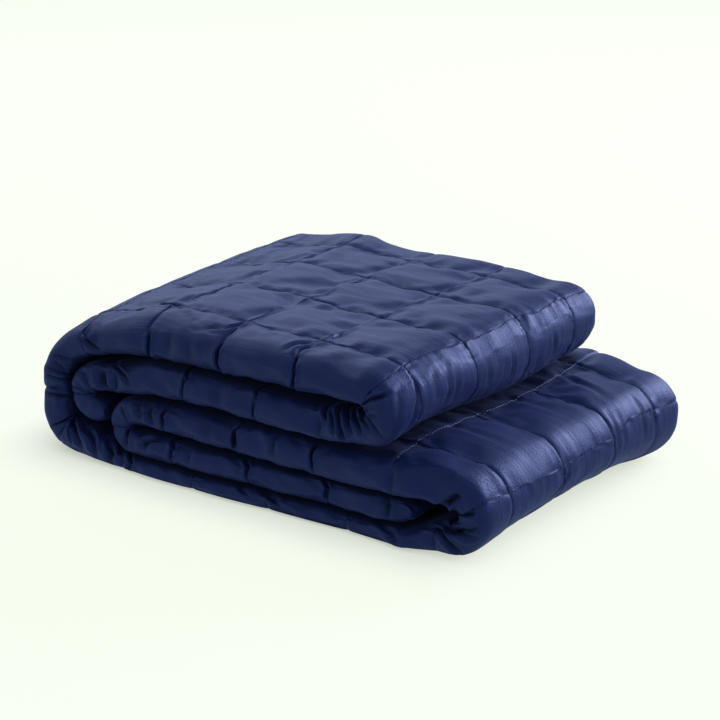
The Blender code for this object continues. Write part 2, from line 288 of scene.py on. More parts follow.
@dataclass
class StripCourse:
    """The way that the strip takes through its layers, worked out from the table of stretches.

    seam_reach is how many squares a run may have on either side of its known seam, bend_reach over how many
    samples a bend comes and goes.
    """

    start_x: float = 3.30
    start_z: float = 0.380
    start_thick: float = 0.26
    start_shift: float = 0.22
    start_half: float = 1.92
    start_depth: float = 0.02
    start_brow: float = 0.0
    sample_step: float = 0.01
    seam_reach: int = 6
    bend_reach: int = 30
    sloped: tuple[str, ...] = ("thick", "shift", "half", "depth", "brow")
    samples: dict[str, Array] = field(default_factory=dict)

    def steps(self, stretch: Stretch) -> int:
        """Returns how many samples a stretch gets."""
        length = stretch.run + abs(math.radians(stretch.turn)) * stretch.radius
        return max(2, round(length / self.sample_step))

    def trace(self) -> None:
        """Walks along the strip and keeps its place, heading, thickness and outside length."""
        state = {
            "x": self.start_x, "z": self.start_z, "thick": self.start_thick, "shift": self.start_shift,
            "half": self.start_half, "depth": self.start_depth, "brow": self.start_brow,
            "heading": math.pi, "outer": 0.0, "bend": 0.0,
        }  # fmt: skip
        rows: dict[str, list[float]] = {name: [] for name in state}
        for stretch in STRIP:
            turn = math.radians(stretch.turn)
            side = math.copysign(stretch.radius, turn)
            begin = dict(state)
            state["bend"] = float(stretch.turn < 0)
            steps = self.steps(stretch)
            for step in range(1, steps + 1):
                share = step / steps
                for name in self.sloped:
                    state[name] = begin[name] + (getattr(stretch, name) - begin[name]) * ease(share)
                heading = begin["heading"] + turn * share
                across = side * (math.sin(heading) - math.sin(begin["heading"]))
                climb = side * (math.cos(begin["heading"]) - math.cos(heading))
                ahead = stretch.run * share
                state["x"] = begin["x"] + math.cos(begin["heading"]) * ahead + across
                state["z"] = (
                    begin["z"] + math.sin(begin["heading"]) * ahead + climb + stretch.rise * ease(share)
                )
                state["heading"] = heading
                outside = stretch.radius + state["thick"] / 2
                state["outer"] += (stretch.run + abs(turn) * outside) / steps
                for name in rows:
                    rows[name].append(state[name])
        self.samples = {name: np.array(values) for name, values in rows.items()}
        spread = np.hanning(self.bend_reach)
        self.samples["bend"] = np.convolve(self.samples["bend"], spread / spread.sum(), "same")
        self.samples["count"] = self.square_count(self.sewn_lines())

    def sewn_lines(self) -> Array:
        """Spaces the sewn lines from those whose places are known.

        Returns:
            The outside lengths at which sewn lines cross the strip.
        """
        known: list[float] = []
        first = 0
        for stretch in STRIP:
            last = first + self.steps(stretch)
            if stretch.seam is not None:
                x = self.samples["x"][first:last]
                wanted = stretch.seam + np.arange(-self.seam_reach, self.seam_reach + 1)
                inside = wanted[(wanted > x.min()) & (wanted < x.max())]
                order = np.argsort(x)
                outer = self.samples["outer"][first:last]
                known += sorted(np.interp(inside, x[order], outer[order]))
            first = last
        lines = [known[0]]
        for line in known[1:]:
            squares = max(1, round(line - lines[-1]))
            lines += list(np.linspace(lines[-1], line, squares + 1)[1:])
        while lines[0] > 1.0:
            lines.insert(0, lines[0] - 1.0)
        while lines[-1] < self.samples["outer"][-1] - 1.0:
            lines.append(lines[-1] + 1.0)
        for line, move in MOVED_SEAMS.items():
            lines[line] += move
        return np.array(lines)

    def square_count(self, lines: Array) -> Array:
        """Counts squares along the strip.

        Args:
            lines: outside lengths at which sewn lines cross the strip.

        Returns:
            For each sample, how many squares it lies along the strip.
        """
        outer = self.samples["outer"]
        count = np.interp(outer, lines, np.arange(len(lines), dtype=float))
        count = np.where(outer < lines[0], outer - lines[0], count)
        return np.where(outer > lines[-1], len(lines) - 1 + outer - lines[-1], count)

    def at(self, places: Array) -> dict[str, Array]:
        """Returns the course's values at fractional sample indices."""
        index = np.arange(len(self.samples["x"]), dtype=float)
        return {name: np.interp(places, index, values) for name, values in self.samples.items()}


@dataclass(frozen=True)
class RingPoint:
    """A point of the line round one section of the strip.

    across is its distance from the middle of the strip, slope is 90 degrees on the outer face and -90 on
    the inner one, cell its place within its square, and round its distance round the section.
    """

    across: float
    slope: float
    cell: float
    round: float


@dataclass
class SectionRing:
    """The line round one section of the strip, closely divided where it shows and coarsely where not.

    edge_reach is the radius of its rounded edges.  The folds use what edge_flat_share leaves of a square.
    """

    squares: float = 4.0
    edge_reach: float = 0.22
    edge_flat_share: float = 0.24
    outer_stops: tuple[float, ...] = (
        0.0, 0.02, 0.05, 0.10, 0.17, 0.25, 0.33, 0.41, 0.50, 0.59, 0.67, 0.75, 0.83, 0.90, 0.95, 0.98,
    )  # fmt: skip
    inner_stops: tuple[float, ...] = (0.0,)
    front_steps: int = 16
    back_steps: int = 10

    def brow_length(self, reach: float) -> float:
        """Returns the distance round the section from reach inside the edge to the foremost place."""
        return reach - self.edge_reach + math.pi * self.edge_reach / 2

    def fold(self, outward: float, steps: int) -> list[RingPoint]:
        """Divides one fold, from the outer face to the inner one.

        Args:
            outward: 1 for the back fold, -1 for the front one.
            steps: how many steps it gets.

        Returns:
            Its points, without those of the faces.
        """
        rim = self.squares / 2 - self.edge_reach
        points = []
        for step in range(1, steps):
            share = step / steps
            cell = self.edge_flat_share + (1.0 - 2 * self.edge_flat_share) * share
            slope = FACE_SLOPE - 2 * FACE_SLOPE * share
            place = rim + math.pi * self.edge_reach * share
            points.append(RingPoint(outward * self.squares / 2, slope, cell, outward * place))
        return points

    def face(self, stops: tuple[float, ...], slope: float) -> list[RingPoint]:
        """Divides one face, from the front to the back.

        Args:
            stops: places of the points within a square.
            slope: slope of the face in degrees.

        Returns:
            Its points.
        """
        rim = self.squares / 2 - self.edge_reach
        first = -self.squares / 2 + 0.5
        points = [RingPoint(-rim, slope, self.edge_flat_share, -rim)]
        for line in range(round(self.squares) - 1):
            for stop in stops:
                across = first + line + stop
                points.append(RingPoint(across, slope, stop, across))
        points.append(RingPoint(-first, slope, 0.0, -first))
        extra = [stop for stop in stops if 0.0 < stop < self.edge_flat_share]
        points += [RingPoint(-first + stop, slope, stop, -first + stop) for stop in extra]
        points[1:1] = [RingPoint(first - stop, slope, stop, first - stop) for stop in reversed(extra)]
        points.append(RingPoint(rim, slope, self.edge_flat_share, rim))
        return points

    def points(self) -> list[RingPoint]:
        """Goes round the section: outer face, back fold, inner face, front fold.

        Returns:
            The points of the whole ring.
        """
        outer = self.face(self.outer_stops, FACE_SLOPE)
        inner = self.face(self.inner_stops, -FACE_SLOPE)
        back = self.fold(1.0, self.back_steps)
        front = self.fold(-1.0, self.front_steps)
        return outer + back + inner[::-1] + front[::-1]


CREASES: tuple[Crease, ...] = (
    # top layer and its front fold
    Crease("hook", 0.022, 0.045, ((17.03, -1.84), (17.06, -2.02), (17.14, -2.14), (17.30, -2.24))),
    Crease("pinch_a", 0.022, 0.036, ((17.68, -1.50), (17.90, -1.52), (18.02, -1.52))),
    Crease("tail_a", 0.022, 0.008, ((18.05, -1.52), (18.50, -1.74), (18.85, -1.86))),
    Crease("front_a", 0.020, 0.042, ((18.04, -1.98), (18.02, -2.16), (17.98, -2.40))),
    Crease("cell_a", 0.045, 0.012, ((18.34, -1.98), (18.25, -2.22))),
    Crease("cell_a_low", 0.050, 0.010, ((18.62, -2.00), (18.58, -2.30))),
    Crease("pinch_b", 0.020, 0.028, ((18.70, -1.80), (18.92, -1.74), (19.01, -1.54))),
    Crease("tail_b", 0.024, 0.007, ((18.05, -1.54), (18.30, -1.70), (18.60, -1.86), (18.95, -1.80))),
    Crease("front_b", 0.020, 0.042, ((19.02, -1.96), (18.98, -2.16), (18.97, -2.38))),
    Crease("fold_c_one", 0.026, 0.020, ((19.93, -1.62), (19.84, -1.72), (19.82, -1.86))),
    Crease("fold_c_two", 0.026, 0.020, ((20.05, -1.70), (19.97, -1.80), (19.99, -1.92))),
    Crease("front_c", 0.020, 0.042, ((20.02, -1.92), (20.04, -2.10), (19.96, -2.38))),
    Crease("curl_rim", 0.030, 0.040, ((20.98, -2.32), (21.10, -2.14), (21.20, -1.98), (21.20, -1.90))),
    Crease("curl_inner", 0.028, 0.020, ((21.30, -2.32), (21.42, -2.22), (21.60, -2.26))),
    Crease("curl_heart", 0.030, 0.016, ((21.55, -2.10), (21.70, -2.20), (21.95, -2.20))),
    # second layer, seen as the second band of the front
    Crease("fan_one", 0.026, 0.040, ((22.98, -2.42), (22.94, -2.29), (22.89, -2.18))),
    Crease("fan_two", 0.024, 0.034, ((22.87, -2.34), (22.82, -2.22), (22.76, -2.08))),
    Crease("fan_three", 0.026, 0.042, ((22.80, -2.42), (22.74, -2.24), (22.68, -2.10), (22.66, -1.96))),
    Crease("fan_four", 0.026, 0.040, ((22.70, -2.42), (22.62, -2.26), (22.56, -2.10))),
    Crease("fan_five", 0.026, 0.044, ((22.62, -2.42), (22.54, -2.26), (22.40, -2.12))),
    Crease("fan_six", 0.026, 0.040, ((22.54, -2.42), (22.40, -2.30), (22.14, -2.14))),
    Crease("front_e", 0.020, 0.036, ((24.00, -2.42), (23.96, -2.22), (24.00, -1.96))),
    Crease("front_f", 0.020, 0.036, ((25.00, -2.42), (24.96, -2.28), (24.99, -2.02))),
    Crease("cell_f", 0.060, 0.008, ((24.50, -2.36), (24.46, -2.02))),
    Crease("front_g", 0.020, 0.036, ((26.12, -2.42), (26.00, -2.32), (25.86, -2.20), (25.76, -2.10))),
    Crease("left_curl_dent", 0.050, 0.045, ((26.24, -2.26), (26.20, -2.10), (26.12, -1.96))),
    Crease("left_curl_line", 0.030, 0.022, ((26.62, -2.30), (26.52, -2.16), (26.50, -1.96))),
    Crease("left_curl_low", 0.030, 0.018, ((26.92, -2.28), (26.86, -2.12), (26.90, -1.96))),
    # middle layer, seen as the third band
    Crease("third_tip", 0.024, 0.022, ((4.34, -2.30), (4.42, -2.16), (4.40, -2.02))),
    Crease("third_one", 0.028, 0.026, ((4.62, -1.90), (4.66, -2.02), (4.74, -2.16))),
    Crease("third_two", 0.028, 0.028, ((4.78, -1.90), (4.80, -2.04), (4.90, -2.20))),
    Crease("third_seam_a", 0.020, 0.036, ((5.00, -1.86), (5.00, -2.02), (5.04, -2.26))),
    Crease("third_seam_b", 0.020, 0.036, ((6.04, -1.84), (5.98, -1.98), (6.00, -2.24))),
    Crease("third_cell", 0.060, 0.010, ((5.62, -1.96), (5.66, -2.20))),
    Crease("third_fold", 0.030, 0.026, ((6.52, -1.86), (6.48, -2.02), (6.53, -2.18))),
    Crease("third_seam_c", 0.020, 0.036, ((7.00, -1.86), (7.00, -2.06), (7.03, -2.24))),
    # inner layer, seen as the fourth band
    Crease("fourth_vee_one", 0.036, 0.034, ((3.62, -2.08), (3.66, -2.22), (3.86, -2.38))),
    Crease("fourth_vee_two", 0.036, 0.040, ((3.34, -2.10), (3.30, -2.26), (3.18, -2.40))),
    Crease("fourth_seam_a", 0.020, 0.036, ((3.02, -2.42), (2.96, -2.25), (3.00, -2.04))),
    Crease("fourth_fold", 0.032, 0.016, ((2.75, -2.34), (2.72, -2.12))),
    Crease("fourth_seam_b", 0.020, 0.036, ((2.06, -2.40), (1.98, -2.26), (1.99, -2.04))),
    Crease("fourth_seam_c", 0.020, 0.036, ((1.08, -2.40), (0.98, -2.24), (1.00, -2.04))),
    Crease("fourth_end", 0.026, 0.030, ((0.26, -2.40), (0.20, -2.22), (0.20, -2.02))),
    # bottom layer and the pleats at its left end
    Crease("fifth_one", 0.032, 0.045, ((15.02, -2.42), (14.80, -2.32), (14.68, -2.14))),
    Crease("fifth_two", 0.032, 0.045, ((14.84, -2.42), (14.64, -2.28), (14.54, -2.10))),
    Crease("fifth_three", 0.036, 0.036, ((14.60, -2.42), (14.42, -2.26), (14.34, -2.08))),
    Crease("fifth_four", 0.034, 0.034, ((14.24, -2.40), (14.14, -2.22), (14.16, -2.06))),
    Crease("fifth_five", 0.028, 0.028, ((14.10, -2.42), (14.04, -2.30))),
    Crease("fifth_seam_a", 0.020, 0.036, ((13.96, -2.42), (13.86, -2.22), (13.90, -2.04))),
    Crease("fifth_six", 0.034, 0.022, ((12.40, -2.40), (12.25, -2.20))),
    Crease("fifth_seven", 0.040, 0.034, ((12.12, -2.42), (11.93, -2.28), (11.84, -2.12))),
    Crease("fifth_eight", 0.036, 0.026, ((10.67, -2.40), (10.48, -2.26), (10.38, -2.10))),
    # outer wall at the left
    Crease("wall_one", 0.026, 0.022, ((16.39, -2.02), (16.52, -2.18), (16.63, -2.38))),
    Crease("wall_two", 0.028, 0.030, ((16.36, -2.12), (16.32, -2.30))),
    Crease("wall_three", 0.022, 0.038, ((16.22, -2.00), (16.25, -2.24), (16.22, -2.46))),
    Crease("wall_four", 0.020, 0.030, ((16.14, -2.06), (16.13, -2.44))),
    Crease("wall_five", 0.022, 0.034, ((15.91, -2.04), (15.88, -2.26), (15.87, -2.44))),
    Crease("wall_six", 0.026, 0.034, ((15.27, -2.06), (15.20, -2.24), (15.32, -2.42))),
    # upper right fold
    Crease("right_one", 0.030, 0.016, ((21.24, -1.50), (21.40, -1.52), (21.62, -1.60), (21.88, -1.64))),
    Crease("right_two", 0.034, 0.014, ((21.20, -1.74), (21.42, -1.80), (21.72, -1.88))),
    Crease("right_three", 0.030, 0.012, ((21.25, -1.18), (21.44, -1.23), (21.64, -1.24))),
    Crease("right_four", 0.030, 0.012, ((21.21, -0.94), (21.46, -1.00), (21.90, -1.05))),
    Crease("right_five", 0.026, 0.010, ((21.30, -0.84), (21.60, -0.88), (21.84, -0.88))),
    Crease("right_six", 0.024, 0.008, ((21.36, -0.29), (21.56, -0.29), (21.75, -0.28))),
    Crease("right_seven", 0.026, 0.010, ((21.40, 0.16), (21.60, 0.17), (21.84, 0.16))),
    Crease("right_eight", 0.026, 0.012, ((21.43, 1.02), (21.63, 1.05), (21.85, 1.10))),
    # lower right fold and the step before it
    Crease("low_one", 0.024, 0.010, ((8.96, -0.42), (9.12, -0.45), (9.30, -0.66))),
    Crease("low_two", 0.026, 0.010, ((8.80, 0.62), (8.98, 0.60), (9.16, 0.58))),
    Crease("low_three", 0.024, 0.010, ((8.84, 0.78), (9.00, 0.76), (9.24, 0.72))),
    Crease("low_four", 0.024, 0.010, ((8.80, 1.26), (9.02, 1.22), (9.22, 1.20))),
    Crease("low_five", 0.024, 0.010, ((8.86, 1.46), (9.02, 1.48), (9.26, 1.44))),
    Crease("step_one", 0.040, 0.012, ((7.71, -0.29), (7.99, -0.36), (8.40, -0.50))),
    Crease("step_two", 0.040, 0.012, ((7.91, 1.18), (8.30, 1.02), (8.70, 0.86))),
    Crease("step_three", 0.040, 0.010, ((7.70, 0.30), (8.10, 0.16), (8.50, 0.10))),
    Crease("step_four", 0.040, 0.010, ((7.80, -0.90), (8.20, -1.00), (8.60, -1.04))),
    Crease("low_hook", 0.034, 0.050, ((8.46, -2.34), (8.56, -2.20), (8.70, -2.12), (8.78, -2.10))),
    Crease("low_fan_one", 0.030, 0.045, ((10.06, -2.42), (9.88, -2.32), (9.52, -2.20), (9.36, -2.04))),
    Crease("low_fan_two", 0.028, 0.040, ((9.82, -2.42), (9.70, -2.30), (9.44, -2.20), (9.24, -2.04))),
    Crease("low_fan_three", 0.032, 0.040, ((10.16, -2.40), (9.96, -2.26), (9.80, -2.14), (9.66, -2.02))),
    Crease("low_heart", 0.030, 0.030, ((9.02, -2.30), (9.06, -2.18), (9.04, -2.06))),
)


@dataclass(frozen=True)
class Wrinkles:
    """The fine relief of the cloth: heights in metres, reaches in squares."""

    least_room: float = 0.002
    room_span: float = 0.010
    fold_start: float = 1.80
    fold_span: float = 0.10
    cross_height: float = 0.0007
    cross_reach: float = 0.10
    cross_gather: Pattern = Pattern(15.0, 5.0, 3)
    line_height: float = 0.0006
    line_reach: float = 0.09
    line_gather: Pattern = Pattern(15.0, 5.0, 4)
    bow_cells: float = 0.6
    bow: Pattern = Pattern(0.9, 1.3, 9)
    ripple_height: float = 0.0008
    ripple: Pattern = Pattern(1.3, 6.5, 5, 7.0)
    upright_height: float = 0.00045
    upright: Pattern = Pattern(1.1, 10.0, 6)
    fine_share: float = 0.5
    fine_upright: Pattern = Pattern(1.6, 21.0, 8)
    patch_share: float = 0.5
    patch_gain: float = 1.1
    patch: Pattern = Pattern(0.8, 0.9, 13, 3.0, 5.0)
    crumple_height: float = 0.0005
    crumple: Pattern = Pattern(6.5, 2.0, 10)
    lump_height: float = 0.0008
    lump: Pattern = Pattern(2.3, 2.3, 7)

    def free(self, room: Array) -> Array:
        """Returns how free the cloth is to wrinkle, from 0 to 1, for the room before each point."""
        return np.clip((room - self.least_room) / self.room_span, 0.0, 1.0)

    def height(self, along: Array, around: Array, bend: Array) -> Array:
        """Works out how high the relief stands where the cloth is free.

        Args:
            along: count of each point along the strip.
            around: distance of each point round the section.
            bend: how much the strip bends there, from 0 to 1.

        Returns:
            The height at each point in metres.
        """
        on_fold = np.clip((np.abs(around) - self.fold_start) / self.fold_span, 0.0, 1.0)
        on_face = 1.0 - on_fold
        to_cross = np.abs(along - np.rint(along))
        to_line = np.where(on_fold > 0.5, 0.5, np.abs(around - 0.5 - np.rint(around - 0.5)))
        cross_side, line_side = np.floor(along * 2.0), np.floor(around * 2.0)
        cross = np.exp(-to_cross / self.cross_reach) * self.cross_gather.at(around, cross_side)
        line = np.exp(-to_line / self.line_reach) * self.line_gather.at(along, line_side) * on_face
        gather = self.cross_height * cross + self.line_height * line
        bow = self.bow_cells * self.bow.at(along, around)
        ripple = self.ripple_height * self.ripple.at(along, around, v_bow=bow) * on_face * (1.0 - bend)
        upright = self.upright.at(along, around, v_bow=bow)
        upright = upright + self.fine_share * self.fine_upright.at(along, around)
        patch = np.clip(self.patch_share + self.patch_gain * self.patch.at(along, around), 0.0, 1.0)
        upright = self.upright_height * upright * patch * bend * on_face
        crumple = self.crumple_height * self.crumple.at(along, around, u_bow=bow) * on_fold
        return gather + ripple + upright + crumple + self.lump_height * self.lump.at(along, around)


@dataclass(frozen=True)
class Filling:
    """The padding, which pushes the cloth out between the sewn lines in a short cloth simulation.

    limit is in metres.  A point goes no further than that, or than room_share of the room before it.
    """

    frames: int = 20
    quality: int = 5
    mass: float = 0.25
    air_damping: float = 2.0
    stiffness: float = 12.0
    shear_stiffness: float = 4.0
    bending_stiffness: float = 0.15
    damping: float = 8.0
    pressure: float = 1.5
    growth: float = 0.03
    hold: float = 20.0
    limit: float = 0.0018
    room_share: float = 0.25
    bend_hold: float = 0.75
    bend_onset: float = 1.6

    def push(self, body: bpy.types.Object, held: Array) -> None:
        """Runs the simulation on the cloth and keeps its end.

        Args:
            body: the cloth.
            held: which of its points are held.
        """
        group = body.vertex_groups.new(name="held")
        group.add([int(index) for index in np.flatnonzero(held)], 1.0, "REPLACE")
        cloth = body.modifiers.new("filling", "CLOTH")
        settings = cloth.settings
        settings.quality = self.quality
        settings.mass = self.mass
        settings.air_damping = self.air_damping
        settings.tension_stiffness = settings.compression_stiffness = self.stiffness
        settings.shear_stiffness = self.shear_stiffness
        settings.bending_stiffness = self.bending_stiffness
        settings.tension_damping = settings.compression_damping = settings.shear_damping = self.damping
        settings.use_pressure = True
        settings.uniform_pressure_force = self.pressure
        settings.shrink_min = settings.shrink_max = -self.growth
        settings.effector_weights.gravity = 0.0
        settings.vertex_group_mass = group.name
        settings.pin_stiffness = self.hold
        cloth.collision_settings.use_collision = False
        cloth.collision_settings.use_self_collision = False
        cloth.point_cache.frame_start, cloth.point_cache.frame_end = 1, self.frames
        scene = bpy.context.scene
        for number in range(1, self.frames + 1):
            scene.frame_set(number)
        apply_modifier(body, cloth)
        scene.frame_set(1)

    def reach(self, bend: Array, room: Array) -> Array:
        """Returns how far each point may move, in metres: less on the bends and where room is short."""
        give = 1.0 - self.bend_hold * np.minimum(1.0, self.bend_onset * bend)
        return np.minimum(self.limit * give, self.room_share * room)


@dataclass
class QuiltedBlanket:
    """The whole blanket: form, filling pushed out between the sewn lines, wrinkles, creases, and shade
    painted into the creases and narrow gaps.

    Sizes of the form are in squares.  square, crease_shade_depth, ray_lift and what is named room are in
    metres, and end_samples and end_clear are in samples of the course.
    """

    square: float = 0.0762
    centre_x: float = 1.1963
    centre_y: float = 1.6169
    inner_seam_depth: float = 0.018
    edge_pinch: float = 0.050
    edge_fullness: float = 0.76
    brow_fullness: float = 0.95
    under_fullness: float = 0.68
    brow_reach: float = 0.50
    brow_slant: float = 1.30
    bend_tautness: float = 0.50
    cross_tautness: float = 0.85
    flat_tautness: float = 0.32
    crown_power: float = 0.45
    valley_reach: float = 0.020
    valley_share: float = 0.60
    fold_valley_share: float = 0.50
    brow_thickness: tuple[float, float] = (0.38, 0.45)
    bend_onset: float = 2.5
    seam_wander: float = 0.030
    cross_wander: Pattern = Pattern(2.2, 3.0, 11, 20.0)
    row_wander: Pattern = Pattern(1.3, 1.1, 12)
    row_wander_share: float = 0.4
    row_wander_reach: float = 1.6
    end_samples: float = 40.0
    end_straight: float = 0.5
    row_stops: tuple[float, ...] = (-1.78, -1.50, -0.50, 0.50, 1.50, 1.78)
    row_places: tuple[float, ...] = (-1.78, -1.50, -0.50, 0.50, 1.40, 1.78)
    row_reach: float = 1.8
    end_clear: float = 3.0
    end_distances: tuple[float, ...] = (0.0, 0.03, 0.10)
    end_shares: tuple[float, ...] = (0.35, 0.62, 0.90)
    end_reach: float = 0.20
    station_stops: tuple[float, ...] = (
        0.0, 0.025, 0.06, 0.11, 0.17, 0.24, 0.32, 0.41, 0.50, 0.59, 0.68, 0.76, 0.83, 0.89, 0.94, 0.975,
    )  # fmt: skip
    fine_spans: tuple[tuple[float, float], ...] = (
        (9.30, 10.14), (14.02, 15.10), (16.96, 17.28), (20.92, 21.30), (22.36, 23.04),
    )  # fmt: skip
    fine_step: float = 0.02
    seam_crease: float = 0.75
    seam_near: float = 0.001
    crease_gain: float = 1.9
    # The crease depth at which the painted shade in a crease is full.
    crease_shade_depth: float = 0.004
    held_room: float = 0.006
    free_room: float = 0.060
    ray_lift: float = 0.0004
    down_share: float = 0.05
    # Painted shade in narrow gaps between layers: gap_shade where there is no room, fading to none at
    # gap_room.
    gap_room: float = 0.030
    gap_shade: float = 1.0
    wrinkles: Wrinkles = Wrinkles()
    filling: Filling = Filling()
    ring: SectionRing = field(default_factory=SectionRing)
    course: StripCourse = field(default_factory=StripCourse)
    map_size: tuple[float, float] = (0.0, 0.0)
    body: bpy.types.Object | None = None

    @property
    def middle_row(self) -> float:
        """The y of the strip's middle, before its shift to the back."""
        return (self.ring.squares - 1) / 2

    def station_rows(self) -> dict[str, Array]:
        """Divides the strip into sections, closely where it has creases, with the free ends rounded off.

        Returns:
            The course's values at each section.
        """
        count = self.course.samples["count"]
        index = np.arange(len(count), dtype=float)
        whole = np.arange(-1, math.ceil(count[-1]))
        stops = (whole[:, None] + np.array(self.station_stops)[None, :]).ravel()
        for low, high in self.fine_spans:
            outside = (stops <= low) | (stops >= high) | (np.abs(stops - np.rint(stops)) < NO_LENGTH)
            stops = np.union1d(stops[outside], np.arange(low, high, self.fine_step))
        gaps = np.diff(stops, prepend=-np.inf)
        whole_stop = np.abs(stops - np.rint(stops)) < NO_LENGTH
        stops = stops[(gaps > self.fine_step / 3) | whole_stop]
        stops = stops[(stops > count[0]) & (stops < count[-1])]
        places = np.interp(stops, count, index)
        near_end = np.array(self.end_distances) / self.course.sample_step
        margin = near_end[-1] + self.end_clear
        places = places[(places > margin) & (places < index[-1] - margin)]
        places = np.concatenate((near_end, places, index[-1] - near_end[::-1]))
        rows = self.course.at(places)
        rows["index"] = places
        distance = np.minimum(places, index[-1] - places) * self.course.sample_step
        rows["share"] = np.interp(
            distance, (*self.end_distances, self.end_reach), (*self.end_shares, 1.0)
        )
        return rows

    def hollow(self, along: Array, cell: Array, valley_share: Array, taut: Array) -> Array:
        """Shapes the cloth within a square.

        Args:
            along: count along the strip.
            cell: place across a square.
            valley_share: share of the depth that is a narrow valley; the rest is a broad pillow.
            taut: how much the cloth is stretched over the crosswise lines, from 0 to 1.

        Returns:
            The depth, from 0 in the middle of a square to 1 on a sewn line.
        """
        along, cell = along % 1.0, cell % 1.0
        crosswise = np.sin(math.pi * along) * (1.0 - taut) + taut
        wave = np.maximum(0.0, crosswise * np.sin(math.pi * cell))
        cross_valley = np.exp(-np.minimum(along, 1.0 - along) / self.valley_reach) * (1.0 - taut)
        row_valley = np.exp(-np.minimum(cell, 1.0 - cell) / self.valley_reach)
        valley = np.maximum(cross_valley, row_valley)
        return valley_share * valley + (1.0 - valley_share) * (1.0 - wave**self.crown_power)

    def height_share(self, x: Array, y: Array) -> Array:
        """Works out how high the layers lie.

        Args:
            x: place of each point along the layers, in squares.
            y: place of each point to the back, in squares.

        Returns:
            A share of the height on a level stack, for each point.
        """
        share = np.ones_like(x)
        for sag in SAGS:
            share += sag.share * np.exp(-sag.away(x, y))
        return share

    def lifted(self, x: Array, y: Array, z: Array) -> Array:
        """Returns how far each place on the lower right fold stands higher than on a level surface."""
        lift = RIGHT_LIFT
        return lift.rise * ease(np.maximum(0.0, 1.0 - lift.away(x, y))) * np.maximum(0.0, 1.0 - z / lift.fade)

    def narrowed(self, x: Array, y: Array, z: Array) -> Array:
        """Draws the layers together at the waists.

        Args:
            x: place of each point along the layers, in squares.
            y: place of each point to the back, in squares.
            z: height of each point, in squares.

        Returns:
            How far each point moves up.
        """
        moved = np.zeros_like(z)
        for waist in WAISTS:
            rise = np.interp(z, (0.0, waist.low_z, waist.high_z), (0.0, waist.low, -waist.high))
            moved = moved + rise * np.exp(-waist.away(x, y))
        return moved

    def wandered(self, rows: dict[str, Array], around: Array) -> dict[str, Array]:
        """Moves the points off true sections, as the crosswise seams wander a little.

        Args:
            rows: values of the course at each section.
            around: distance of each ring point round a section.

        Returns:
            The course's values at each point.
        """
        count = rows["count"][:, None]
        last = len(self.course.samples["x"]) - 1.0
        to_end = np.minimum(rows["index"], last - rows["index"])[:, None]
        inside = np.clip(to_end / self.end_samples - self.end_straight, 0.0, 1.0)
        wander = self.seam_wander * inside * self.cross_wander.at(around, np.rint(count))
        row = self.course.at(rows["index"][:, None] + wander / self.course.sample_step)
        row["share"], row["count"] = rows["share"][:, None], count
        return row

    def across(self, faces: Array, count: Array, around: Array) -> Array:
        """Moves the points off true lines, as the lengthwise seams wander a little.

        Args:
            faces: true place across of each ring point.
            count: count along the strip of each section.
            around: distance of each ring point round a section.

        Returns:
            The place of each point across the strip.
        """
        moved = np.interp(faces, self.row_stops, self.row_places)
        moved = np.where(np.abs(faces) < self.row_reach, moved, faces)[None, :]
        wander = self.row_wander_share * self.seam_wander * self.row_wander.at(count, around)
        return moved + wander * (np.abs(around) < self.row_wander_reach)

    def outline(
        self, row: dict[str, Array], slope: Array, around: Array, across: Array
    ) -> tuple[Array, Array, Array]:
        """Shapes the line round each section before the sewn lines are pressed in.

        Args:
            row: values of the course at each point.
            slope: slope of each ring point, in radians.
            around: distance of each ring point round a section.
            across: place of each point across the strip.

        Returns:
            Distance from the strip's middle, height in the layer and slope of each point.
        """
        half = self.ring.squares / 2
        fullness = np.interp(row["thick"], self.brow_thickness, (self.edge_fullness, self.brow_fullness))
        fullness = np.where(slope < 0, self.under_fullness, fullness)
        full_across = np.abs(np.cos(slope)) ** fullness
        full_up = np.sign(slope) * np.abs(np.sin(slope)) ** fullness
        round_edge = np.sign(across) * (row["half"] - self.ring.edge_reach * (1.0 - full_across))
        width = np.where(np.abs(np.cos(slope)) > NO_LENGTH, round_edge, across * row["half"] / half)
        half_thick = row["thick"] / 2 * row["share"]
        up = half_thick * full_up
        first_line = half - self.brow_reach
        brow = row["brow"] * ((slope >= 0) & (around < -first_line))
        ahead = np.clip((-around - first_line) / self.ring.brow_length(self.brow_reach), 0.0, 1.0)
        brow_slope = math.pi / 2 * (1.0 - ahead)
        brow_width = self.brow_reach * (1.0 - np.abs(np.cos(brow_slope)) ** self.brow_slant) - row["half"]
        brow_up = half_thick * np.abs(np.sin(brow_slope)) ** self.brow_slant
        width = width + (brow_width - width) * brow
        return width, up + (brow_up - up) * brow, slope + (brow_slope - slope) * brow

    def sunk(self, row: dict[str, Array], slope: Array, cell: Array) -> Array:
        """Works out how deep the stitching draws the cloth in.

        Args:
            row: values of the course at each point.
            slope: slope of each point, in radians.
            cell: place of each ring point within its square.

        Returns:
            The depth at each point, in squares.
        """
        outer_depth = row["depth"] * (1.0 - self.bend_tautness * row["bend"])
        face_depth = np.where(slope > 0, outer_depth, self.inner_seam_depth)
        depth = face_depth * np.sin(slope) ** 2 + self.edge_pinch * np.cos(slope) ** 2
        valley_share = self.valley_share + (self.fold_valley_share - self.valley_share) * np.cos(slope)
        bent = np.minimum(1.0, self.bend_onset * row["bend"])
        taut = (self.flat_tautness + (self.cross_tautness - self.flat_tautness) * bent) * np.sin(slope) ** 2
        return depth * row["share"] * self.hollow(row["count"], cell, valley_share, taut)

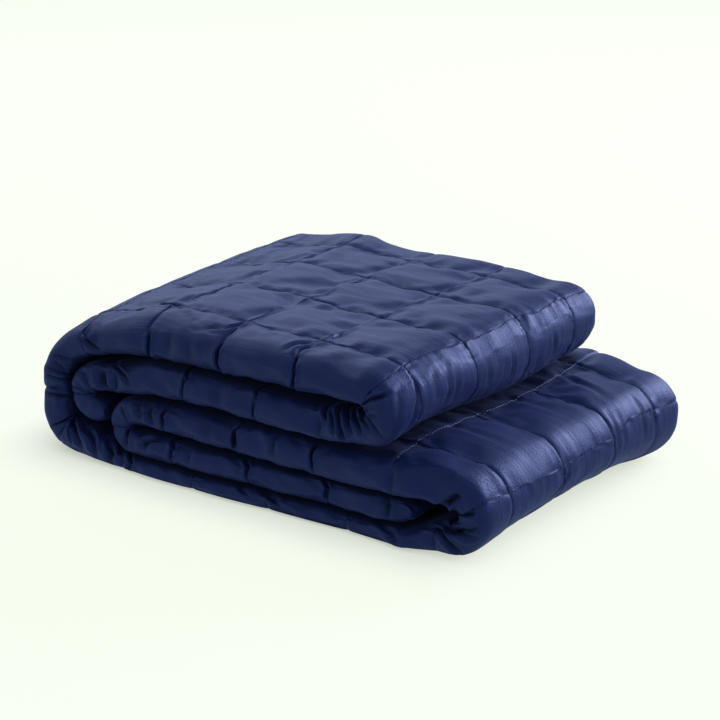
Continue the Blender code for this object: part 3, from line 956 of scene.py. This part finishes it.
    def place(self, rows: dict[str, Array], ring: list[RingPoint]) -> Array:
        """Places every point of every section.

        Args:
            rows: values of the course at each section.
            ring: points round a section.

        Returns:
            Places in metres, indexed by section, point and axis.
        """
        slope = np.radians([point.slope for point in ring])[None, :]
        cell = np.array([point.cell for point in ring])[None, :]
        around = np.array([point.round for point in ring])[None, :]
        row = self.wandered(rows, around)
        across = self.across(np.array([point.across for point in ring]), row["count"], around)
        width, up, slope = self.outline(row, slope, around, across)
        sunk = self.sunk(row, slope, cell)
        width = width - np.sign(across) * sunk * np.cos(slope)
        up = up - sunk * np.sin(slope)
        x = row["x"] - np.sin(row["heading"]) * up
        y = self.middle_row + row["shift"] + width
        z = np.maximum(0.0, row["z"] + np.cos(row["heading"]) * up)
        z = z * self.height_share(x, y)
        z = z + self.lifted(x, y, z)
        z = z + self.narrowed(x, y, z)
        shape = np.broadcast_shapes(x.shape, y.shape, z.shape)
        points = [np.broadcast_to(part, shape) for part in (x - self.centre_x, y - self.centre_y, z)]
        return np.stack(points, axis=-1) * self.square

    def build(self) -> None:
        """Bends a grid into the strip, joins its long edges and closes its two ends."""
        self.course.trace()
        rows = self.station_rows()
        ring = self.ring.points()
        points = self.place(rows, ring)
        sections, size = len(rows["x"]), len(ring)
        deselect_all()
        bpy.ops.mesh.primitive_grid_add(x_subdivisions=sections - 1, y_subdivisions=size, size=2.0)
        self.body = bpy.context.object
        self.body.name = self.body.data.name = "quilted_blanket"
        mesh = self.body.data
        flat = self.read_points()
        section = np.rint((flat[:, 0] + 1.0) / 2.0 * (sections - 1)).astype(int)
        number = np.rint((flat[:, 1] + 1.0) / 2.0 * size).astype(int)
        self.map_cloth(mesh, rows, points, section, number)
        self.write_attribute("along", rows["count"][section])
        self.write_attribute("bend", rows["bend"][section])
        for name in ("round", "slope"):
            self.write_attribute(name, np.array([getattr(point, name) for point in ring])[number % size])
        mesh.vertices.foreach_set("co", points[section, number % size].astype(np.float32).ravel())
        self.close(section, number, sections, size)
        mesh.polygons.foreach_set("use_smooth", np.ones(len(mesh.polygons), bool))

    def map_cloth(
        self, mesh: bpy.types.Mesh, rows: dict[str, Array], points: Array, section: Array, number: Array
    ) -> None:
        """Lays the cloth's map flat: U along the strip and V round its section, each from 0 to 1.

        Args:
            mesh: the grid.
            rows: values of the course at each section.
            points: places by section and ring point, for the lengths round a section.
            section: section of each grid point.
            number: ring point of each grid point, counted to one past the last.
        """
        middle = points[len(points) // 2]
        loop = np.concatenate((middle, middle[:1]))
        steps = np.linalg.norm(np.diff(loop, axis=0), axis=1)
        round_length = np.concatenate(([0.0], np.cumsum(steps)))
        along = rows["outer"] / rows["outer"][-1]
        corner = self.read(mesh.loops, "vertex_index", 1, whole=True)[:, 0]
        values = np.stack((along[section[corner]], (round_length / round_length[-1])[number[corner]]), axis=1)
        mesh.uv_layers[0].name = "cloth_map"
        mesh.uv_layers[0].data.foreach_set("uv", values.astype(np.float32).ravel())
        self.map_size = (float(rows["outer"][-1]) * self.square, float(round_length[-1]))

    def write_attribute(self, name: str, values: Array) -> None:
        """Keeps a number for each point of the mesh.

        Args:
            name: what it is kept as.
            values: the numbers.
        """
        mesh = self.body.data
        layer = mesh.attributes.get(name) or mesh.attributes.new(name, "FLOAT", "POINT")
        layer.data.foreach_set("value", np.asarray(values, np.float32))

    def read(
        self, source: bpy.types.bpy_prop_collection, name: str, width: int, whole: bool = False
    ) -> Array:
        """Reads one property of a part of the mesh.

        Args:
            source: the mesh's points, edges or corners.
            name: the property.
            width: how many numbers an element has.
            whole: whether they are whole numbers.

        Returns:
            A row of numbers for each element.
        """
        values = np.zeros(len(source) * width, np.int32 if whole else np.float32)
        source.foreach_get(name, values)
        return values.reshape(-1, width).astype(int if whole else float)

    def read_attribute(self, name: str) -> Array:
        """Returns the number that was kept for each point of the mesh."""
        return self.read(self.body.data.attributes[name].data, "value", 1)[:, 0]

    def read_points(self) -> Array:
        """Returns the mesh's points in metres."""
        return self.read(self.body.data.vertices, "co", 3)

    def write_points(self, points: Array) -> None:
        """Moves the mesh's points."""
        self.body.data.vertices.foreach_set("co", points.astype(np.float32).ravel())
        self.body.data.update()

    def read_normals(self) -> Array:
        """Returns the direction that each point faces."""
        return self.read(self.body.data.vertex_normals, "vector", 3)

    def close(self, section: Array, number: Array, sections: int, size: int) -> None:
        """Closes both free ends with a row of faces each and welds the grid's long edges.

        Args:
            section: section of each grid point.
            number: ring point of each grid point.
            sections: how many sections there are.
            size: how many points a ring has.
        """
        shape = bmesh.new()
        shape.from_mesh(self.body.data)
        shape.verts.ensure_lookup_table()
        tip = self.ring.front_steps // 2
        for end in (0, sections - 1):
            found = np.flatnonzero((section == end) & (number < size))
            rim = [shape.verts[index] for index in found[np.argsort(number[found])]]
            start = size - tip
            left = [rim[(start + step) % size] for step in range(size)]
            low, high = 0, size
            while high - low > 2:
                corners = list(dict.fromkeys(left[step % size] for step in (low, low + 1, high - 1, high)))
                if len(corners) > 2:
                    shape.faces.new(corners)
                low, high = low + 1, high - 1
        bmesh.ops.remove_doubles(shape, verts=shape.verts, dist=NO_LENGTH)
        bmesh.ops.recalc_face_normals(shape, faces=shape.faces)
        shape.to_mesh(self.body.data)
        shape.free()

    def room_outwards(self) -> Array:
        """Measures how far the cloth can move outwards before it meets the cloth or the floor.

        Returns:
            The room before each point, in metres.
        """
        points, normals = self.read_points(), self.read_normals()
        shape = bmesh.new()
        shape.from_mesh(self.body.data)
        tree = BVHTree.FromBMesh(shape)
        room = np.full(len(points), self.free_room)
        for index, (point, normal) in enumerate(zip(points, normals)):
            start = Vector(point + normal * self.ray_lift)
            hit = tree.ray_cast(start, Vector(normal), self.free_room)
            if hit[3] is not None:
                room[index] = hit[3]
            if normal[2] < -self.down_share:
                room[index] = min(room[index], point[2] / -normal[2])
        shape.free()
        return room

    def on_seam(self, along: Array, around: Array, slope: Array) -> Array:
        """Finds the sewn lines of the outer face and of the folds.

        Args:
            along: count of each point along the strip.
            around: distance of each point round the section.
            slope: slope of each point in degrees.

        Returns:
            Whether each point lies on one.
        """
        crosswise = np.abs(along - np.rint(along)) < self.seam_near
        lengthwise = (np.abs(around - 0.5 - np.rint(around - 0.5)) < self.seam_near) & (slope > ON_FACE)
        return (crosswise & (slope > -ON_FACE)) | lengthwise

    def puff(self) -> None:
        """Pushes the filling out between the sewn lines with a short cloth simulation.

        The sewn lines, the hidden faces and what lies on the floor are held.  The cloth is a little larger
        than the squares that hold it, so it gathers beside the stitching.  No point goes further than the
        filling's limit or a share of the room before it.
        """
        along, around = self.read_attribute("along"), self.read_attribute("round")
        slope = self.read_attribute("slope")
        room = self.room_outwards()
        seam = self.on_seam(along, around, slope)
        held = seam | (room < self.held_room) | (slope < -ON_FACE)
        self.write_attribute("room", room)
        self.write_attribute("seam", seam)
        before = self.read_points()
        self.filling.push(self.body, held)
        moved = self.read_points() - before
        length = np.linalg.norm(moved, axis=1)
        limit = self.filling.reach(self.read_attribute("bend"), room) * (1.0 - held)
        log.info("filling moved the cloth by up to %.1f mm before the limit", length.max() * 1000)
        share = np.minimum(1.0, limit / np.maximum(length, NO_LENGTH))
        self.write_points(before + moved * share[:, None])

    def refine(self) -> None:
        """Divides every face once, with the sewn lines kept sharp."""
        mesh = self.body.data
        seam = self.read_attribute("seam") > 0.5
        ends = self.read(mesh.edges, "vertices", 2, whole=True)
        sharp = (seam[ends[:, 0]] & seam[ends[:, 1]]) * self.seam_crease
        layer = mesh.attributes.new("crease_edge", "FLOAT", "EDGE")
        layer.data.foreach_set("value", sharp.astype(np.float32))
        finer = self.body.modifiers.new("finer", "SUBSURF")
        finer.levels = finer.render_levels = 1
        apply_modifier(self.body, finer)

    def wrinkle(self) -> None:
        """Adds gathers beside the stitching, soft ripples, upright wrinkles on the bends and the creases, and
        paints shade into the creases and narrow gaps.
        """
        along, around = self.read_attribute("along"), self.read_attribute("round")
        slope, room = self.read_attribute("slope"), self.read_attribute("room")
        points, normals = self.read_points(), self.read_normals()
        shown = slope > -ON_FACE
        relief = self.wrinkles.height(along, around, self.read_attribute("bend"))
        height = relief * (self.wrinkles.free(room) * shown)
        scale = self.crease_gain * self.square
        pressed = sum(crease.press(along, around, scale) for crease in CREASES) * shown
        # Painted shade, kept as the attribute pressed: darker where the gap before the cloth is narrow and
        # where a crease presses in.
        painted_gap_shade = self.gap_shade * np.clip(1.0 - room / self.gap_room, 0.0, 1.0)
        crease_shade_share = np.clip(pressed / self.crease_shade_depth, 0.0, 1.0)
        self.write_attribute("pressed", np.maximum(painted_gap_shade, crease_shade_share))
        self.write_points(points + normals * (height - pressed)[:, None])

    def dress(self, finish: "SateenFinish") -> None:
        """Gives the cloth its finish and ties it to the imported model.

        Args:
            finish: the finish.
        """
        self.body.data.materials.clear()
        self.body.data.materials.append(finish.material(self.map_size))
        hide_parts("blanket")
        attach(self.body, "root")

    def seam_path(self, line: float, crosswise: bool, least_slope: float) -> dict[str, Array]:
        """Follows one sewn line.

        Args:
            line: count of the line along the strip if crosswise, else its distance round the section.
            crosswise: whether the line runs across the strip.
            least_slope: how far round the folds the line goes, 90 being the outer face.

        Returns:
            Points, outward normals and room along the line, in order.
        """
        counted, ordered = ("along", "round") if crosswise else ("round", "along")
        on_line = np.abs(self.read_attribute(counted) - line) < self.seam_near * 2
        found = np.flatnonzero(on_line & (self.read_attribute("slope") > least_slope))
        found = found[np.argsort(self.read_attribute(ordered)[found])]
        points, normals = self.read_points()[found], self.read_normals()[found]
        return {"points": points, "normals": normals, "room": self.read_attribute("room")[found]}


@dataclass
class Stitching:
    """The running stitches along every sewn line that shows."""

    blanket: QuiltedBlanket
    pitch: float = 0.0036
    length: float = 0.0025
    thickness: float = 0.00075
    stand: float = 0.20
    least_room: float = 0.012
    navy_slope: float = -60.0
    pale_slope: float = 70.0
    pale_line: int = 8
    sides: int = 6
    rings: int = 4

    def stitch_template(self) -> tuple[Array, list[tuple[int, ...]]]:
        """Shapes one stitch, lying along X.

        Returns:
            Its points and its faces, in the same order at every run.
        """
        deselect_all()
        bpy.ops.mesh.primitive_uv_sphere_add(segments=self.sides, ring_count=self.rings, radius=0.5)
        stitch = bpy.context.object
        bpy.ops.object.mode_set(mode="EDIT")
        bpy.ops.transform.rotate(value=math.pi / 2, orient_axis="Y", center_override=(0.0, 0.0, 0.0))
        bpy.ops.transform.resize(
            value=(self.length, self.thickness, self.thickness), center_override=(0.0, 0.0, 0.0)
        )
        bpy.ops.object.mode_set(mode="OBJECT")
        points = np.array([vertex.co[:] for vertex in stitch.data.vertices])
        faces = []
        for face in stitch.data.polygons:
            corners = list(face.vertices)
            first = corners.index(min(corners))
            faces.append(tuple(corners[first:] + corners[:first]))
        bpy.data.objects.remove(stitch)
        return points, sorted(faces)

    def places(self, path: dict[str, Array]) -> list[tuple[Array, Array, Array]]:
        """Spaces the stitches on a sewn line, where there is room for them.

        Args:
            path: the line.

        Returns:
            The middle, direction and outward normal of each stitch.
        """
        points = path["points"]
        if len(points) < 3:
            return []
        steps = np.linalg.norm(np.diff(points, axis=0), axis=1)
        lengths = np.concatenate(([0.0], np.cumsum(steps)))
        middles = np.arange(self.pitch / 2, lengths[-1] - self.pitch / 2, self.pitch)
        found = []
        for middle in middles:
            if np.interp(middle, lengths, path["room"]) < self.least_room:
                continue
            ends = (middle - self.length / 2, middle, middle + self.length / 2)
            tail, centre, head = (
                np.array([np.interp(end, lengths, points[:, axis]) for axis in range(3)]) for end in ends
            )
            normal = np.array([np.interp(middle, lengths, path["normals"][:, axis]) for axis in range(3)])
            direction = head - tail
            direction = direction / np.linalg.norm(direction)
            normal = normal - direction * (normal @ direction)
            found.append((centre, direction, normal / np.linalg.norm(normal)))
        return found

    def sew(self, thread: Thread, paths: list[dict[str, Array]], finish: "ThreadFinish") -> None:
        """Makes one piece of all stitches of one thread.

        Args:
            thread: which thread.
            paths: the sewn lines that it follows.
            finish: its finish.
        """
        template, faces = self.stitch_template()
        points: list[Array] = []
        all_faces: list[tuple[int, ...]] = []
        for path in paths:
            for centre, direction, normal in self.places(path):
                side = np.cross(normal, direction)
                turn = np.stack((direction, side, normal), axis=1)
                first = len(template) * len(points)
                points.append(template @ turn.T + centre + normal * self.thickness * self.stand)
                all_faces += [tuple(first + corner for corner in face) for face in faces]
        mesh = bpy.data.meshes.new(thread.value)
        mesh.from_pydata(np.concatenate(points).tolist(), [], all_faces)
        mesh.polygons.foreach_set("use_smooth", np.ones(len(mesh.polygons), bool))
        piece = bpy.data.objects.new(thread.value, mesh)
        bpy.context.scene.collection.objects.link(piece)
        mesh.materials.append(finish.material())
        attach(piece, "root")
        log.info("%s: %d stitches", thread.value, len(points))

    def build(self, navy: "ThreadFinish", pale: "ThreadFinish") -> None:
        """Sews every line that shows with navy thread, and one line with pale thread.

        Args:
            navy: finish of the navy thread.
            pale: finish of the pale thread.
        """
        along = self.blanket.read_attribute("along")
        crosswise = range(math.ceil(along.min()), math.floor(along.max()) + 1)
        dark = [line for line in crosswise if line != self.pale_line]
        half = self.blanket.ring.squares / 2
        paths = [self.blanket.seam_path(line, True, self.navy_slope) for line in dark]
        paths += [self.blanket.seam_path(line, False, ON_FACE) for line in np.arange(-half + 0.5, half)]
        self.sew(Thread.NAVY, paths, navy)
        self.sew(Thread.PALE, [self.blanket.seam_path(self.pale_line, True, self.pale_slope)], pale)


class Nodes:
    """Adds and joins the nodes of one material."""

    def __init__(self, name: str) -> None:
        """Starts a material with its shader alone.

        Args:
            name: the material's name.
        """
        self.material = bpy.data.materials.new(name)
        self.material.use_nodes = True
        self.tree = self.material.node_tree
        self.shader = self.tree.nodes["Principled BSDF"]

    def add(self, kind: str, **settings: object) -> bpy.types.Node:
        """Adds a node.

        Args:
            kind: its type.
            **settings: its settings.

        Returns:
            The node.
        """
        node = self.tree.nodes.new(kind)
        for name, value in settings.items():
            setattr(node, name, value)
        return node

    def join(self, source: bpy.types.NodeSocket, target: bpy.types.NodeSocket) -> None:
        """Links one socket to another."""
        self.tree.links.new(source, target)

    def math(
        self, operation: str, *values: bpy.types.NodeSocket | float, clamp: bool = False
    ) -> bpy.types.NodeSocket:
        """Adds a sum on sockets and plain numbers.

        Args:
            operation: the sum.
            *values: what goes into it, in order.
            clamp: whether the value is kept between 0 and 1.

        Returns:
            Its value.
        """
        node = self.add("ShaderNodeMath", operation=operation, use_clamp=clamp)
        for target, value in zip(node.inputs, values):
            if isinstance(value, bpy.types.NodeSocket):
                self.join(value, target)
            else:
                target.default_value = value
        return node.outputs["Value"]

    def mix(
        self, share: bpy.types.NodeSocket, *colours: bpy.types.NodeSocket | tuple[float, ...]
    ) -> bpy.types.NodeSocket:
        """Mixes two colours.

        Args:
            share: share of the second colour, from 0 to 1.
            *colours: the two colours, each a socket or a plain colour.

        Returns:
            The mixed colour.
        """
        node = self.add("ShaderNodeMix", data_type="RGBA")
        self.join(share, node.inputs["Factor"])
        for name, colour in zip("AB", colours):
            if isinstance(colour, bpy.types.NodeSocket):
                self.join(colour, node.inputs[name])
            else:
                node.inputs[name].default_value = colour
        return node.outputs["Result"]

    def noise(self, vector: bpy.types.NodeSocket, scale: float, detail: float = 2.0) -> bpy.types.NodeSocket:
        """Adds a noise texture.

        Args:
            vector: where on the piece.
            scale: cells in a unit.
            detail: how many finer layers the noise has.

        Returns:
            Its value.
        """
        node = self.add("ShaderNodeTexNoise")
        node.inputs["Scale"].default_value = scale
        node.inputs["Detail"].default_value = detail
        self.join(vector, node.inputs["Vector"])
        return node.outputs["Fac"]

    def stretched(
        self, vector: bpy.types.NodeSocket, scale: tuple[float, float, float]
    ) -> bpy.types.NodeSocket:
        """Scales a vector.

        Args:
            vector: the vector.
            scale: its scale along each axis.

        Returns:
            The scaled vector.
        """
        node = self.add("ShaderNodeMapping")
        node.inputs["Scale"].default_value = scale
        self.join(vector, node.inputs["Vector"])
        return node.outputs["Vector"]

    def threads(
        self, vector: bpy.types.NodeSocket, length: float, width: float, detail: float = 2.0
    ) -> bpy.types.NodeSocket:
        """Adds noise that is drawn out along the first axis.

        Args:
            vector: where on the cloth, in metres.
            length: size of a cell along the first axis.
            width: size of a cell along the second axis.
            detail: how many finer layers the noise has.

        Returns:
            Its value.
        """
        return self.noise(self.stretched(vector, (1.0 / length, 1.0 / width, 1.0)), 1.0, detail)

    def bump(
        self, height: bpy.types.NodeSocket, distance: float, strength: float, under: bpy.types.Node | None
    ) -> bpy.types.Node:
        """Lays a bump over another one.

        Args:
            height: its height, from 0 to 1.
            distance: depth in metres.
            strength: how strong it is.
            under: the bump below it, if there is one.

        Returns:
            The bump node.
        """
        node = self.add("ShaderNodeBump")
        node.inputs["Distance"].default_value = distance
        node.inputs["Strength"].default_value = strength
        self.join(height, node.inputs["Height"])
        if under is not None:
            self.join(under.outputs["Normal"], node.inputs["Normal"])
        return node


@dataclass(frozen=True)
class SateenFinish:
    """Navy cotton sateen: fine weave with long floats along the strip, soft sheen, slight unevenness, and
    shade painted into creases and narrow gaps.
    """

    dark: tuple[float, float, float, float] = (0.0105, 0.0178, 0.0870, 1.0)
    light: tuple[float, float, float, float] = (0.0165, 0.0265, 0.1220, 1.0)
    # Painted shade: the colour that creases and the narrow gaps between layers are darkened to.
    painted_shade: tuple[float, float, float, float] = (0.0020, 0.0040, 0.0200, 1.0)
    creased_roughness: float = 0.45
    tone_scale: float = 11.0
    tone_detail: float = 3.0
    grain: float = 0.0013
    grain_share: float = 1.5
    grain_bump: tuple[float, float] = (0.00045, 0.8)
    roughness: float = 0.41
    roughness_spread: float = 0.10
    specular: float = 0.70
    specular_tint: tuple[float, float, float, float] = (0.46, 0.54, 1.0, 1.0)
    sheen: float = 0.15
    sheen_roughness: float = 0.45
    sheen_tint: tuple[float, float, float, float] = (0.45, 0.53, 1.0, 1.0)
    yarn: float = 0.00045
    float_yarns: float = 4.0
    weave_bump: tuple[float, float] = (0.00012, 0.6)
    streak_length: float = 0.022
    streak_width: float = 0.0016
    streak_bump: tuple[float, float] = (0.0002, 0.5)
    ripple_length: float = 0.045
    ripple_width: float = 0.0070
    ripple_bump: tuple[float, float] = (0.0010, 0.5)

    def material(self, map_size: tuple[float, float]) -> bpy.types.Material:
        """Makes the material.

        Args:
            map_size: size in metres of the cloth's flat map, along the strip and round it.

        Returns:
            The material.
        """
        nodes = Nodes("navy_sateen")
        chart = nodes.add("ShaderNodeUVMap", uv_map="cloth_map").outputs["UV"]
        metres = nodes.stretched(chart, (map_size[0], map_size[1], 1.0))
        tone = nodes.noise(metres, self.tone_scale, self.tone_detail)
        grain = nodes.noise(metres, 1.0 / self.grain)
        streaks = nodes.threads(metres, self.streak_length, self.streak_width)
        ripples = nodes.threads(metres, self.ripple_length, self.ripple_width)
        weave = nodes.threads(metres, self.yarn * self.float_yarns, self.yarn, 1.0)
        # The attribute pressed is a painted-shade mask for creases and narrow gaps; it also makes the cloth
        # rougher there.
        pressed = nodes.add("ShaderNodeAttribute", attribute_name="pressed").outputs["Fac"]
        mixed = nodes.math("MULTIPLY_ADD", grain, self.grain_share, tone)
        even = nodes.math("SUBTRACT", mixed, self.grain_share / 2, clamp=True)
        colour = nodes.mix(even, self.dark, self.light)
        # Painted shade: the base colour darkens where the mask pressed is set.
        colour = nodes.mix(pressed, colour, self.painted_shade)
        nodes.join(colour, nodes.shader.inputs["Base Color"])
        gloss = nodes.add("ShaderNodeMapRange")
        gloss.inputs["To Min"].default_value = self.roughness - self.roughness_spread
        gloss.inputs["To Max"].default_value = self.roughness + self.roughness_spread
        nodes.join(streaks, gloss.inputs["Value"])
        painted_shade = (pressed, self.creased_roughness, gloss.outputs["Result"])
        nodes.join(nodes.math("MULTIPLY_ADD", *painted_shade, clamp=True), nodes.shader.inputs["Roughness"])
        relief = (
            (ripples, self.ripple_bump), (streaks, self.streak_bump),
            (grain, self.grain_bump), (weave, self.weave_bump),
        )  # fmt: skip
        normal = None
        for height, (distance, strength) in relief:
            normal = nodes.bump(height, distance, strength, normal)
        nodes.join(normal.outputs["Normal"], nodes.shader.inputs["Normal"])
        nodes.shader.inputs["Specular IOR Level"].default_value = self.specular
        nodes.shader.inputs["Specular Tint"].default_value = self.specular_tint
        nodes.shader.inputs["Sheen Weight"].default_value = self.sheen
        nodes.shader.inputs["Sheen Roughness"].default_value = self.sheen_roughness
        nodes.shader.inputs["Sheen Tint"].default_value = self.sheen_tint
        return nodes.material


@dataclass(frozen=True)
class ThreadFinish:
    """Spun polyester sewing thread."""

    name: str
    colour: tuple[float, float, float, float]
    roughness: float = 0.6
    twist_scale: float = 2500.0
    twist_bump: tuple[float, float] = (0.0001, 0.4)

    def material(self) -> bpy.types.Material:
        """Makes the material, with a fine twist in its surface.

        Returns:
            The material.
        """
        nodes = Nodes(self.name)
        nodes.shader.inputs["Base Color"].default_value = self.colour
        nodes.shader.inputs["Roughness"].default_value = self.roughness
        place = nodes.add("ShaderNodeTexCoord").outputs["Object"]
        twist = nodes.bump(nodes.noise(place, self.twist_scale), *self.twist_bump, None)
        nodes.join(twist.outputs["Normal"], nodes.shader.inputs["Normal"])
        return nodes.material


NAVY_FINISH = ThreadFinish("navy_thread", (0.006, 0.009, 0.035, 1.0))
PALE_FINISH = ThreadFinish("pale_thread", (0.45, 0.50, 0.72, 1.0))


@dataclass(frozen=True)
class Softbox:
    """A soft rectangular light, turned to the blanket."""

    name: str
    place: tuple[float, float, float]
    width: float
    height: float
    power: float


@dataclass
class Studio:
    """The pale floor with a painted contact shadow, the soft lights and the camera."""

    camera_place: tuple[float, float, float] = (0.9992, -1.2685, 0.6454)
    camera_yaw: float = -38.2
    camera_pitch: float = 19.14
    camera_lens: float = 100.0
    camera_sensor: float = 36.0
    floor_size: float = 14.0
    floor_colour: tuple[float, float, float, float] = (0.130, 0.126, 0.100, 1.0)
    floor_roughness: float = 0.9
    floor_specular: float = 0.1
    floor_glow: tuple[float, float, float, float] = (0.945, 1.0, 0.880, 1.0)
    floor_glow_strength: float = 0.945
    # The floor's contact shadow is painted into its glow; these set its leaning, reach, share, fall-off and
    # samples.
    shade_side: tuple[float, float, float] = (0.70, 0.32, 0.64)
    shade_reach: float = 0.064
    shade_share: float = 0.70
    shade_power: float = 1.6
    shade_samples: int = 8
    light_colour: tuple[float, float, float] = (0.66, 0.73, 1.0)
    light_aim: tuple[float, float, float] = (0.0, 0.0, 0.08)
    room_colour: tuple[float, float, float, float] = (0.64, 0.80, 1.0, 1.0)
    room_strength: float = 0.365
    softboxes: tuple[Softbox, ...] = (
        Softbox("back_softbox", (0.72, 2.05, 0.95), 1.4, 0.8, 34.0),
        Softbox("back_left_softbox", (-1.60, 1.60, 0.85), 1.6, 0.9, 4.0),
        Softbox("left_softbox", (-1.60, 0.50, 1.60), 1.6, 1.2, 6.0),
        Softbox("right_softbox", (2.00, 0.45, 0.70), 1.2, 0.6, 5.0),
    )

    def floor(self) -> None:
        """Lays the floor."""
        deselect_all()
        bpy.ops.mesh.primitive_plane_add(size=self.floor_size, location=(0.0, 0.0, 0.0))
        floor = bpy.context.object
        floor.name = "floor"
        nodes = Nodes("pale_floor")
        nodes.shader.inputs["Base Color"].default_value = self.floor_colour
        nodes.shader.inputs["Roughness"].default_value = self.floor_roughness
        nodes.shader.inputs["Specular IOR Level"].default_value = self.floor_specular
        nodes.shader.inputs["Emission Color"].default_value = self.floor_glow
        nodes.join(self.shade(nodes), nodes.shader.inputs["Emission Strength"])
        floor.data.materials.append(nodes.material)
        floor.visible_diffuse = False
        floor.visible_glossy = False

    def shade(self, nodes: Nodes) -> bpy.types.NodeSocket:
        """Paints a soft contact shadow into the floor's glow next to the blanket.

        Args:
            nodes: the floor's material.

        Returns:
            The strength of the glow.
        """
        # Painted shadow: ambient occlusion dims the floor's glow near the blanket.
        open_share = nodes.add("ShaderNodeAmbientOcclusion", samples=self.shade_samples)
        open_share.inputs["Distance"].default_value = self.shade_reach
        towards = nodes.add("ShaderNodeCombineXYZ")
        for target, value in zip(towards.inputs, self.shade_side):
            target.default_value = value
        nodes.join(towards.outputs["Vector"], open_share.inputs["Normal"])
        painted_shadow = nodes.math("SUBTRACT", 1.0, open_share.outputs["AO"])
        falling = nodes.math("POWER", painted_shadow, self.shade_power)
        full = self.floor_glow_strength
        return nodes.math("MULTIPLY_ADD", falling, -full * self.shade_share, full, clamp=True)

    def panel(self, light: Softbox, aim: Vector) -> None:
        """Hangs one softbox.

        Args:
            light: the softbox.
            aim: where it is turned to.
        """
        data = bpy.data.lights.new(light.name, "AREA")
        data.shape = "RECTANGLE"
        data.size, data.size_y = light.width, light.height
        data.energy = light.power
        data.color = self.light_colour
        lamp = bpy.data.objects.new(light.name, data)
        bpy.context.scene.collection.objects.link(lamp)
        lamp.location = light.place
        lamp.rotation_euler = (aim - Vector(light.place)).to_track_quat("-Z", "Y").to_euler()

    def lights(self) -> None:
        """Hangs the softboxes and sets the surrounding light."""
        for light in self.softboxes:
            self.panel(light, Vector(self.light_aim))
        world = bpy.data.worlds.new("studio")
        bpy.context.scene.world = world
        world.use_nodes = True
        background = world.node_tree.nodes["Background"]
        background.inputs["Color"].default_value = self.room_colour
        background.inputs["Strength"].default_value = self.room_strength

    def camera(self) -> None:
        """Sets up the camera."""
        data = bpy.data.cameras.new("camera")
        data.lens, data.sensor_width = self.camera_lens, self.camera_sensor
        camera = bpy.data.objects.new("camera", data)
        bpy.context.scene.collection.objects.link(camera)
        yaw, pitch = math.radians(self.camera_yaw), math.radians(self.camera_pitch)
        ahead = Vector((math.sin(yaw) * math.cos(pitch), math.cos(yaw) * math.cos(pitch), -math.sin(pitch)))
        camera.location = self.camera_place
        camera.rotation_euler = ahead.to_track_quat("-Z", "Y").to_euler()
        bpy.context.scene.camera = camera

    def build(self) -> None:
        """Sets up the floor, lights, camera and plain colour rendering."""
        self.camera()
        self.floor()
        self.lights()
        bpy.context.scene.view_settings.view_transform = "Standard"


def main() -> None:
    """Builds the blanket, its stitching and the studio."""
    logging.basicConfig(level=logging.INFO, format="%(message)s")
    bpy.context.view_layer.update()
    Studio().build()
    blanket = QuiltedBlanket()
    blanket.build()
    blanket.puff()
    blanket.refine()
    blanket.wrinkle()
    blanket.dress(SateenFinish())
    log.info("%s: %d faces", blanket.body.name, len(blanket.body.data.polygons))
    Stitching(blanket).build(NAVY_FINISH, PALE_FINISH)
    bpy.context.view_layer.update()


if __name__ == "__main__":
    main()
